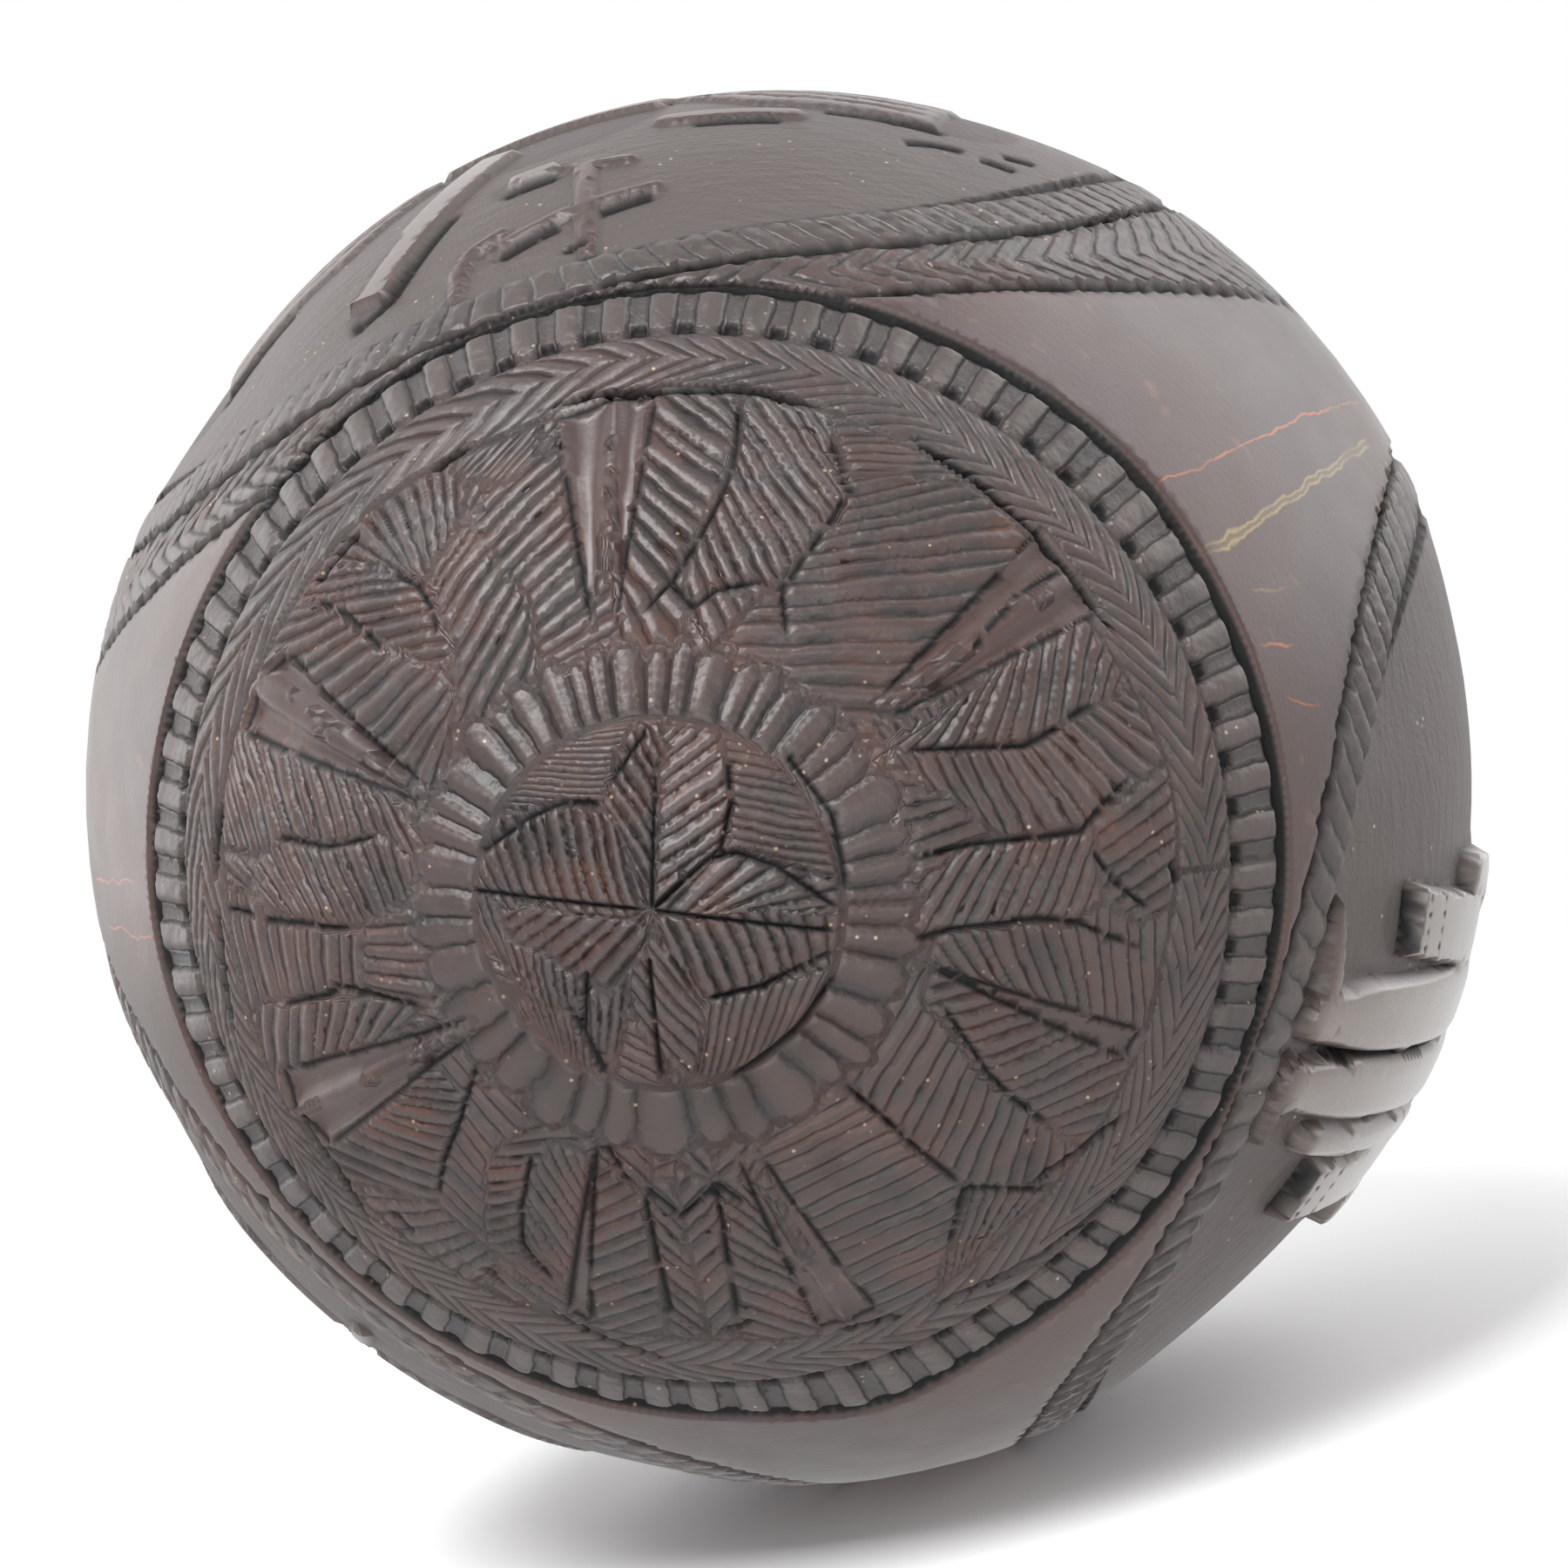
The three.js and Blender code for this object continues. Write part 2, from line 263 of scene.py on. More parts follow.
@dataclass(frozen=True)
class Fan:
    """Row of slanting cuts between two lines, counted from one end to the other."""

    root: Line
    tip: Line
    count: int
    depth: float = 0.25
    turn: int = 1
    overrun: float = 0.45

    @cached_property
    def shares(self) -> Array:
        """Places of the cuts along the two lines, a little uneven as a hand sets them."""
        index = np.arange(self.count)
        return (index + 0.5 + 0.13 * np.sin(2.7 * index + 5 * self.root[0][0])) / self.count

    def lines(self) -> Array:
        """Start and end of each cut."""
        return np.stack([along(self.root, self.shares), along(self.tip, self.shares)], axis=1)

    def survey(self, at: Array) -> Pair:
        """Counts the cuts up to points of the chart.

        Args:
            at: Points of the chart.

        Returns:
            Number of the cut with its fraction, and distance outside the row, negative inside it.
        """
        grid = np.linspace(-self.overrun, 1 + self.overrun, 10 * self.count + 1)
        roots = along(self.root, grid)
        runs = along(self.tip, grid) - roots
        lengths = np.hypot(*runs.T)
        gap = at[:, None] - roots
        side = (runs[:, 0] * gap[..., 1] - runs[:, 1] * gap[..., 0]) / lengths
        way = (gap * runs).sum(axis=2) / lengths
        past = np.maximum(-way, way - lengths)
        past = np.where(side[:, 1:] * side[:, :-1] <= 0, past[:, :-1], np.inf)
        cell = past.argmin(axis=1)
        point = np.arange(len(at))
        near, far = side[point, cell], side[point, cell + 1]
        share = grid[cell] + (grid[1] - grid[0]) * near / np.where(near == far, 1, near - far)
        even = self.shares * self.count - 0.5
        number = share * self.count - 0.5 + np.interp(share, self.shares, np.arange(self.count) - even)
        width = np.hypot(*np.diff(self.lines().mean(axis=1), axis=0).T).sum()
        return self.turn * number, np.maximum(past[point, cell], -width * np.minimum(share, 1 - share))


@dataclass(frozen=True)
class Scoop:
    """Hollow flute that widens from a point to two corners."""

    apex: Numbers
    first: Numbers
    second: Numbers
    depth: float = 0.7
    end: float = 1.04

    def dip(self, at: Array) -> Pair:
        """Measures the flute.

        Args:
            at: Points of the chart.

        Returns:
            Depth of the flute at each point, and whether the point lies in it.
        """
        apex = np.asarray(self.apex, float)
        first = np.asarray(self.first, float) - apex
        second = np.asarray(self.second, float) - apex
        shares = np.linalg.solve(np.stack([first, second], axis=1), (at - apex).T)
        out = shares.sum(axis=0)
        across = (shares[0] - shares[1]) / np.maximum(out, 1e-6)
        inside = (out > 0) & (out < self.end) & (np.abs(across) < 1)
        bowl = np.clip(1 - across**2, 0, 1)
        ends = smooth(out, 0, 0.3) * smooth(-out, -self.end, -0.97)
        return np.where(inside, self.depth * bowl * ends, 0), inside


@dataclass(frozen=True)
class Boss:
    """Raised form of a relief: a line with a half width at each of its points."""

    line: Line
    widths: Numbers
    top: float
    edge: float
    blunt: bool = False

    @cached_property
    def points(self) -> Array:
        """Corner points of the line."""
        return np.asarray(self.line, float)

    def room(self, at: Array) -> Array:
        """Measures the outline of the form.

        Args:
            at: Points of the chart.

        Returns:
            Distance inside the outline, negative outside it.
        """
        signed, way, _ = measure(self.points, at)
        marks = milestones(self.points)
        room = np.interp(way, marks / marks[-1], self.widths) - np.abs(signed)
        return np.minimum(room, np.minimum(way, 1 - way) * marks[-1]) if self.blunt else room

    def rise(self, at: Array) -> Array:
        """Height above the ground at points of the chart."""
        inside = np.clip(self.room(at) / self.edge, 0, 1)
        return self.top * np.sqrt(1 - (1 - inside) ** 2)

    def pulled(self, at: Array, size: Array) -> Array:
        """Points of the chart, moved onto the foot or the top of the wall if they nearly touch it.

        Args:
            at: Points of the chart.
            size: Distance from which a point is moved.

        Returns:
            The points after the move.
        """
        step = 0.01
        room = self.room(at)
        slope = np.stack([self.room(at + way) - room for way in ((step, 0), (0, step))], axis=-1) / step
        gap = np.where(room < self.edge / 2, 0, self.edge) - room
        return at + slope * np.where(np.abs(gap) < size, gap, 0)[:, None]


@dataclass
class Carving:
    """Knife work gathered on one flat chart of the surface."""

    strokes: list[Stroke] = field(default_factory=list)
    fans: list[Fan] = field(default_factory=list)
    scoops: list[Scoop] = field(default_factory=list)
    bosses: list[Boss] = field(default_factory=list)

    def cut(self, line: Line, depth: float = 0.4, width: float = 0.32, **more: float) -> None:
        """Adds an even V cut along a line."""
        self.strokes.append(Stroke(np.asarray(line, float), depth, width, **more))

    def undercut(self, line: Line, stain: float = 0.5, width: float = 0.8) -> None:
        """Adds a shallow cut with a broad painted shadow beside it, where shade falls under a raised
        form.
        """
        self.cut(line, 0.3, width, start=0.1, end=0.1, stain=stain)

    def ring(self, loop: Array, depth: float, width: float, parts: int = 24) -> None:
        """Adds a V cut along a closed line, in parts that follow each other without a break.

        Args:
            loop: Points of the line, the last at the first.
            depth: Depth of the cut.
            width: Half width of the cut.
            parts: Number of parts.
        """
        size = (len(loop) - 1) // parts
        for part in range(parts):
            self.cut(loop[part * size : (part + 1) * size + 1], depth, width, start=0.001, end=0.001)

    def boss(self, line: Line, widths: Numbers, top: float, edge: float, blunt: bool = False) -> None:
        """Adds a raised form along a line."""
        self.bosses.append(Boss(line, widths, top, edge, blunt))

    def fan(self, root: Line, tip: Line, count: int, depth: float = 0.25, turn: int = 1) -> None:
        """Adds a row of slanting cuts between two lines."""
        self.fans.append(Fan(root, tip, count, depth, turn))

    def rows(self, at: Array, limit: float = 6.0) -> tuple[Array, Array, Array]:
        """Finds the row that each point belongs to; rows run on until they meet.

        Args:
            at: Points of the chart.
            limit: How far a row runs on past its ends.

        Returns:
            Number of the cut, distance from the border of the row, and depth of its cuts.
        """
        x, y = at.T
        across = np.sin(0.9 * y + 1.1 * np.sin(0.4 * x))
        up = np.sin(0.8 * x + 1.2 * np.sin(0.5 * y))
        at = at + 0.07 * np.stack([across, up], axis=-1)
        best, second = np.full(len(at), limit), np.full(len(at), limit)
        number, depth = np.zeros(len(at)), np.zeros(len(at))
        for fan in self.fans:
            near = self.near(np.concatenate([fan.root, fan.tip]), limit, at)
            if not near.size:
                continue
            counted, outside = fan.survey(at[near])
            closer = outside < best[near]
            second[near] = np.where(closer, best[near], np.minimum(second[near], outside))
            held = near[closer]
            best[held], number[held], depth[held] = outside[closer], counted[closer], fan.depth
        return number, second - best, depth

    def reach(self, at: Array, limit: float) -> Pair:
        """Finds the nearest cut of each point.

        Args:
            at: Points of the chart.
            limit: Distance beyond which a cut is not looked for.

        Returns:
            Distance to the nearest cut, and its nearest point.
        """
        best = np.full(len(at), limit)
        feet = at.copy()
        lines = [stroke.line for stroke in self.strokes]
        for line in lines + [line for fan in self.fans for line in fan.lines()]:
            near = self.near(line, limit, at)
            if near.size:
                signed, _, foot = measure(line, at[near])
                closer = np.abs(signed) < best[near]
                best[near[closer]] = np.abs(signed[closer])
                feet[near[closer]] = foot[closer]
        return best, feet

    @staticmethod
    def near(line: Array, margin: float, at: Array) -> Array:
        """Finds the points beside a line.

        Args:
            line: Corner points of the line.
            margin: Width added round its box.
            at: Points of the chart.

        Returns:
            Indices of the points in the box.
        """
        low, high = line.min(axis=0) - margin, line.max(axis=0) + margin
        x, y = at[:, 0], at[:, 1]
        return np.flatnonzero((x > low[0]) & (x < high[0]) & (y > low[1]) & (y < high[1]))

    def relief(self, at: Array) -> Pair:
        """Measures the raised forms.

        Args:
            at: Points of the chart.

        Returns:
            Height above the ground, and nearness to the foot of a form.
        """
        rise, foot = np.zeros(len(at)), np.zeros(len(at))
        for boss in self.bosses:
            near = self.near(boss.points, max(boss.widths) + 1, at)
            if near.size:
                rise[near] = np.maximum(rise[near], boss.rise(at[near]))
                foot[near] = np.maximum(foot[near], hump(boss.room(at[near]), 0, 0.35))
        return rise, foot

    def flutes(self, at: Array) -> Pair:
        """Depth of the smooth flutes at points of the chart, and whether they lie in one."""
        depths, covers = zip(*(scoop.dip(at) for scoop in self.scoops))
        return np.max(depths, axis=0), np.any(covers, axis=0)

    def depths(self, at: Array) -> Pair:
        """Depth of the knife work, and the dirt and painted shade that lie in it.

        Args:
            at: Points of the chart.

        Returns:
            Depth in millimetres, and dirt with painted shade from 0 to 1 at each point.
        """
        depth, dirt = np.zeros(len(at)), np.zeros(len(at))
        for stroke in self.strokes:
            near = self.near(stroke.line, stroke.width + stroke.stain, at)
            if not near.size:
                continue
            signed, way, _ = measure(stroke.line, at[near])
            press = smooth(way, -0.01, stroke.start) * smooth(1 - way, -0.01, stroke.end)
            wall = stroke.width * (0.4 + 0.6 * press)
            share = np.clip(1 - np.abs(signed) / wall, 0, 1)
            depth[near] = np.maximum(depth[near], stroke.depth * press * share**stroke.hollow)
            # Dirt and painted shade darken the bottom of the cut, spread wider by its painted shadow
            spread = 0.1 + 0.24 * stroke.depth + stroke.stain
            soot_and_shade = press * hump(signed, 0, spread)
            dirt[near] = np.maximum(dirt[near], soot_and_shade * min(1.0, (stroke.depth + stroke.stain) / 0.45))
        return depth, dirt


@dataclass
class Marks:
    """What the carving does at each point of the skin."""

    lift: Array
    cut: Array
    # Dirt in the cuts together with painted shade in hollows and at the feet of walls
    dirt: Array
    ground: Array
    row: Array
    rows: Array
    pads: Array
    # Rubbed wear on raised tops together with a painted highlight
    worn: Array

    @classmethod
    def blank(cls, count: int) -> "Marks":
        """Marks of an uncarved surface."""
        return cls(*(np.zeros(count) for _ in fields(cls)))

    def deepen(self, inside: Array, **values: Array) -> None:
        """Raises named marks where new values are larger.

        Args:
            inside: Indices of the points.
            values: New values of each named mark.
        """
        for name, value in values.items():
            mark = getattr(self, name)
            mark[inside] = np.maximum(mark[inside], value)

    def show(self, inside: Array, shown: Array, **values: Any) -> None:
        """Sets named marks where they show.

        Args:
            inside: Indices of the points.
            shown: Whether each of them shows.
            values: New values of each named mark.
        """
        for name, value in values.items():
            mark = getattr(self, name)
            mark[inside] = np.where(shown, value, mark[inside])


# Smooth flutes of the medallion: point and two corners
RAYS: tuple[Line, ...] = (
    ((-4.6, 18.4), (-9.6, 34.8), (-5.2, 36.5)), ((-3.1, 18.5), (-5, 36.5), (-2, 36.5)),
    ((14.5, 13.2), (27, 26.2), (29, 23.6)), ((14.8, 12), (29.6, 22.4), (31.6, 20)),
    ((-16, 7.4), (-30.5, 17), (-32.8, 15.4)), ((-16.3, 6.6), (-33.5, 14), (-34.5, 11)),
    ((-13, -8), (-32, -15.2), (-31.5, -18.7)),
    ((-13, -9), (-31, -19), (-28.5, -21)), ((-4.8, -16), (-10.2, -34), (-8.6, -35)),
    ((4.5, -17.5), (9.2, -35.5), (11.3, -35)), ((6, -17.5), (11.6, -35), (13.7, -34)),
    ((17.5, -4.3), (34.3, -12), (33, -14)),
)
# Lines that part the leaves of the field
RIBS: tuple[Line, ...] = (
    ((4.4, 36.5), (4.5, 33), (4.4, 30.5), (3.4, 27.5), (2.3, 25), (0.7, 22), (-1.8, 18.9)),
    ((11.2, 33.4), (12.8, 29), (11, 25.5), (8.3, 21.4), (8.8, 17)),
    ((0.6, 21.8), (2.2, 20), (3.8, 21.3), (7.4, 22)),
    ((16.5, 10.2), (25.5, 10.2), (27, 11), (30, 12.8), (31.5, 13.4)),
    ((16.5, 2.8), (21, 3.5), (29.5, 3.8), (30.3, 4.8), (34.2, 8.2)),
    ((30.3, 2.5), (32, 0), (35, -2.5)),
    ((16.5, -2.8), (20, -2.2), (26, -2.1), (29, -2.7), (35, -5.8)),
    ((19, -7.5), (22.3, -13.2), (24.5, -16), (27.4, -18.8)),
    ((12, -12.5), (16.5, -17.8), (20.5, -22.7)), ((20.5, -22.7), (27, -24.5)),
    ((20.5, -22.7), (19.3, -28)), ((3, -20), (3.2, -34)), ((-2.2, -21), (-1.8, -34)),
    ((-4.5, -17), (-3, -20.5)), ((-2.3, -20.3), (0.2, -23.2), (3, -20.3), (5.2, -22.6)),
    ((-10, -18), (-12, -24), (-12.5, -27), (-10.5, -31)),
    ((-13.2, -11.3), (-15.4, -16.2), (-17.5, -20), (-19, -24)), ((-33, 3.5), (-25, 3), (-20, 4.2)),
    ((-37, -2.8), (-30, -3), (-22.2, -2.6)), ((-31, -9.7), (-26, -8), (-24.5, -7), (-16.5, -7.8)),
    ((-29, 21.3), (-25, 20), (-21, 17)), ((-21.5, 23), (-19, 22), (-17.3, 20), (-16.5, 18)),
    ((21.5, 17), (25.2, 21.2), (29.1, 23.4)),
)
# Gouges along the inner edge of the wreath
POCKETS: tuple[Line, ...] = (
    ((-29, 22), (-25, 26.5)), ((-19.5, 30.8), (-16.5, 33)), ((-37.2, 5.3), (-37.8, -1)),
    ((-37.7, -3), (-37.5, -14)), ((-31.5, -18.8), (-28.3, -23.5), (-26.5, -28.5)),
    ((-24, -26), (-22, -28)), ((-16.5, -30), (-14.8, -32)),
    ((-12, -33.8), (-9.5, -36), (-2.8, -39.2)), ((2, -35.5), (4.5, -34)), ((10.5, -36), (16, -35)),
    ((25.3, -23.8), (31, -20.5), (34, -18.5)), ((37, 1), (37.3, -1)),
    ((16.5, 34), (22, 30.5), (27, 26), (31, 21), (33.5, 17)),
    ((17, -34.9), (27, -31.2), (34.5, -25.5)),
    ((-11.2, 35.6), (-6.5, 36.9), (4.5, 37.2), (12, 35.4)),
)
# Lines that part the leaves of the round centre
DISC_LINES: tuple[Line, ...] = (
    ((8.8, 10), (11.8, 6), (12.4, 3), (12.6, 0.5)), ((11.8, -4.8), (9, -8.5), (4.3, -12)),
    ((-4, -11.5), (-5, -8.5), (-6, -6.5)), ((-0.5, 11.7), (-3, 8)),
    ((4.9, 9.5), (5.2, 7), (4.5, 4), (0.5, 0.5)), ((0, 0), (0.2, 10)),
    ((-11.8, 3.5), (-8.5, 5.8), (-6, 6.9), (-3, 6.9)), ((-12.5, 0.9), (-0.1, 0)),
    ((0, 0), (3.5, 3.2), (5.5, 3.7), (8, 2.8), (12.4, -0.5)), ((0, 0), (12.3, -1.8)),
    ((3.5, -6), (7, -5.2), (11.8, -3)), ((-0.3, -3), (0, -12)),
    ((-4.5, -4), (-5, -8.5), (-3.6, -11.8)),
)
# Rows of slanting cuts in the field: root line, tip line, count, depth and way of counting
LEAF_ROWS: tuple[tuple[Any, ...], ...] = (
    # Between the top ray and the upper right ray
    (((4.3, 34.6), (4.1, 31), (2.9, 27.8), (0.9, 23.6), (-1.2, 20.2)),
     ((2.2, 36.4), (-0.4, 35.4), (-1.1, 31.5), (-1.4, 27), (-2.4, 21.8)), 10),
    (((12.8, 30.4), (12.2, 28.2), (10.4, 25), (8.3, 22.4), (5.2, 22.2), (3.6, 22)),
     ((9.3, 35.8), (6.6, 36), (5, 34.4), (4.6, 30.4), (3.5, 26.8), (2.3, 24.6)), 11),
    (((12.9, 29.2), (12.6, 27.4), (10.8, 25), (9, 22.6), (8.6, 20), (8.8, 17)),
     ((17, 30.2), (24.4, 28), (23.4, 25.6), (21, 23), (19.5, 20.5), (16.8, 17.2)), 10, 0.25, -1),
    (((12.3, 34.6), (12.6, 30.8)), ((16.5, 34.8), (19.8, 31)), 5, 0.15),
    # Between the upper right ray and the lower right ray
    (((17, 10.6), (21.8, 10.9), (25, 10.9), (28.5, 12.2), (31.2, 13.6)),
     ((19.6, 12.8), (23.7, 14.8), (27.6, 16.6), (30.2, 17), (32.4, 16.8)), 11),
    (((17.2, 9.4), (19.4, 9.4), (24.5, 9.7), (28, 11.2), (31, 12.6)),
     ((18.9, 6.8), (24.4, 4), (29, 5), (32.5, 7.8), (35.4, 9.4)), 12, 0.25, -1),
    (((16.6, 7.2), (16.8, 3.2)), ((19.6, 7.6), (21.6, 4.6)), 3),
    (((21.2, 3.3), (24.8, 3.4), (28.5, 3.5), (30, 3)),
     ((18, -1.2), (21.4, -1.8), (25.2, -1.4), (27.8, -1.8)), 8),
    (((31.4, 3.2), (32.6, 0.4), (34, -1.2)), ((35.9, 5.6), (36.6, 2.2), (36.7, 0)), 4),
    (((20.5, -3), (25.3, -3.2), (31, -4), (35, -5.9)),
     ((22, -5.6), (27, -6.6), (32.2, -8.8), (35.2, -10.2)), 11),
    # Between the lower right ray and the bottom rays
    (((18.9, -8), (20.5, -10.8), (22.5, -13.8), (25, -15.7), (27.6, -18.6)),
     ((22.2, -7.4), (25.5, -10.4), (29.5, -12.8), (32.5, -15), (33.2, -17.6)), 10),
    (((13.2, -13.8), (16.6, -17.6), (20.4, -22), (26.2, -22.6)),
     ((16.9, -7.8), (18.9, -9.4), (22.6, -15), (27, -18.6)), 11),
    (((13, -14), (16.6, -18), (20, -22.6), (19.4, -27.5)),
     ((9.6, -15.8), (10, -18.4), (13.2, -24), (14.8, -29.6)), 11),
    (((21.5, -23.6), (26.4, -25)), ((20.2, -28.8), (23.6, -28.2)), 5),
    # Two narrow leaves between the bottom rays
    (((3.1, -20.6), (3.3, -33)), ((5.4, -23.2), (7.4, -35.4)), 7, 0.25, -1),
    (((2.9, -20.6), (3, -32.5)), ((0.3, -23.4), (1, -35)), 6),
    (((-2, -20.6), (-1.7, -32)), ((0.1, -23.3), (0.4, -34.6)), 6, 0.25, -1),
    (((-2.5, -22), (-2.5, -31)), ((-5.2, -23.4), (-6.4, -33)), 6),
    # Between the bottom rays and the lower left ray
    (((-9.6, -17.7), (-10.5, -20.5), (-12, -23), (-12.3, -25.8)),
     ((-12.8, -18.3), (-14, -21), (-15, -23.6), (-15, -27)), 7),
    (((-8.8, -19), (-10.5, -22), (-12, -26.3), (-12, -28.4)),
     ((-7.8, -21.6), (-9, -24.7), (-10.6, -28), (-9.6, -31.4)), 8),
    (((-14.6, -14.2), (-17, -18), (-19, -23.6)),
     ((-18.2, -14.4), (-23.2, -18.8), (-24.8, -22.6)), 8),
    (((-14.2, -13.6), (-16, -17.6), (-18.6, -24)), ((-12, -16.4), (-14.2, -20), (-15.4, -27.4)), 8),
    (((-19.4, -24.6), (-16.4, -28.4)), ((-23, -25.6), (-18.6, -30)), 4),
    # Between the lower left ray and the upper left ray
    (((-35.8, 7.8), (-31.3, 7.6), (-28, 7.8), (-24, 7.2), (-19.5, 5.6)),
     ((-32.6, 1.2), (-29, 3), (-25.5, 3.3), (-22, 4.4), (-18.6, 4.2)), 11),
    (((-33, 1), (-31, 3.3), (-25.5, 3), (-20, 3.8)),
     ((-29.4, -2.4), (-27.6, -2.5), (-22.6, -2.4), (-18.6, 0)), 10),
    (((-36, -3.4), (-29.8, -3.6), (-25.5, -3.4), (-22.2, -3)),
     ((-34.6, -9.6), (-30.9, -9), (-27, -8), (-22.6, -7)), 9),
    (((-32.8, -10.3), (-28.5, -9.2), (-23.3, -8.2), (-18.4, -8)),
     ((-33.6, -14.4), (-30, -13.5), (-24.8, -11.3), (-20.2, -9.8)), 9),
    (((-18, -1.4), (-18, -6.4)), ((-21.6, -2), (-21.8, -6.2)), 4),
    # Between the upper left ray and the top ray
    (((-26.8, 19.9), (-22.5, 18.2), (-19.5, 15.5), (-16.8, 11.6)),
     ((-31.2, 18.6), (-27, 15.9), (-23, 13), (-18.2, 9.6)), 9),
    (((-20.8, 22.9), (-18.4, 21), (-17, 18.4)), ((-28, 22.3), (-26, 20.8), (-21.3, 17.6)), 5),
    (((-21.6, 23.4), (-19.2, 23.5), (-17.4, 24.8), (-16.6, 25.5)),
     ((-26, 25.2), (-23, 28.6), (-19.6, 30.5), (-17.5, 29)), 7),
    (((-17.2, 23.5), (-16.5, 20.2), (-13, 17.6), (-11, 17)),
     ((-14.8, 28.2), (-13.3, 25.2), (-11, 22.8), (-9.2, 20.8)), 7),
    (((-15.6, 26.5), (-12.8, 23), (-8, 18.8)), ((-10.6, 32), (-9, 27), (-5.9, 20.6)), 9),
    (((-15.2, 31.5), (-12.5, 29.6)), ((-13.2, 34.2), (-10.6, 32.2)), 6, 0.15),
)
# Rows of slanting cuts in the round centre
DISC_ROWS: tuple[tuple[Any, ...], ...] = (
    (((0, 2.6), (0.2, 10)), ((-2.9, 6.6), (-2.2, 9), (-0.8, 11.6)), 5),
    (((0.6, 1.2), (0.9, 9)), ((4.5, 3.8), (5, 7.2), (3.6, 11.4)), 6, 0.25, -1),
    (((-10.6, 4.2), (-6.2, 6.7), (-2.8, 5.6)), ((-9.4, 1.4), (-5, 1.2), (-1.6, 1)), 8),
    (((0.9, 0.4), (6.6, -0.2)), ((3.4, 3.1), (6, 3.2), (11.4, 0.4)), 5),
    (((2, -1.2), (10.6, -2.2)), ((3.6, -5.4), (10.8, -3.4)), 7),
    (((0.6, -4.4), (0.9, -9)), ((2.8, -7), (2.2, -10.6)), 3, 0.15),
    (((-9.5, -2.3), (-6.5, -3), (-4.6, -4.2)), ((-7.5, -0.9), (-5.3, -1.3), (-2.5, -2)), 4),
    (((-9.5, 7.4), (-5.8, 11.2)), ((-4, 7.2), (-2.4, 11.4)), 9, 0.15),
    (((5.6, 4.8), (5.2, 10.6)), ((11.2, 3.8), (8.2, 10)), 8, 0.15),
    (((-11.8, -1.6), (-5, -5)), ((-9.2, -7.8), (-5, -10.6)), 9),
    (((-11.4, -3.4), (-8.8, -8)), ((-5.2, -5.8), (-5.2, -10)), 5, 0.2),
    (((4, -6.4), (10.4, -5)), ((3, -10.6), (8.6, -8.4)), 8, 0.12),
)


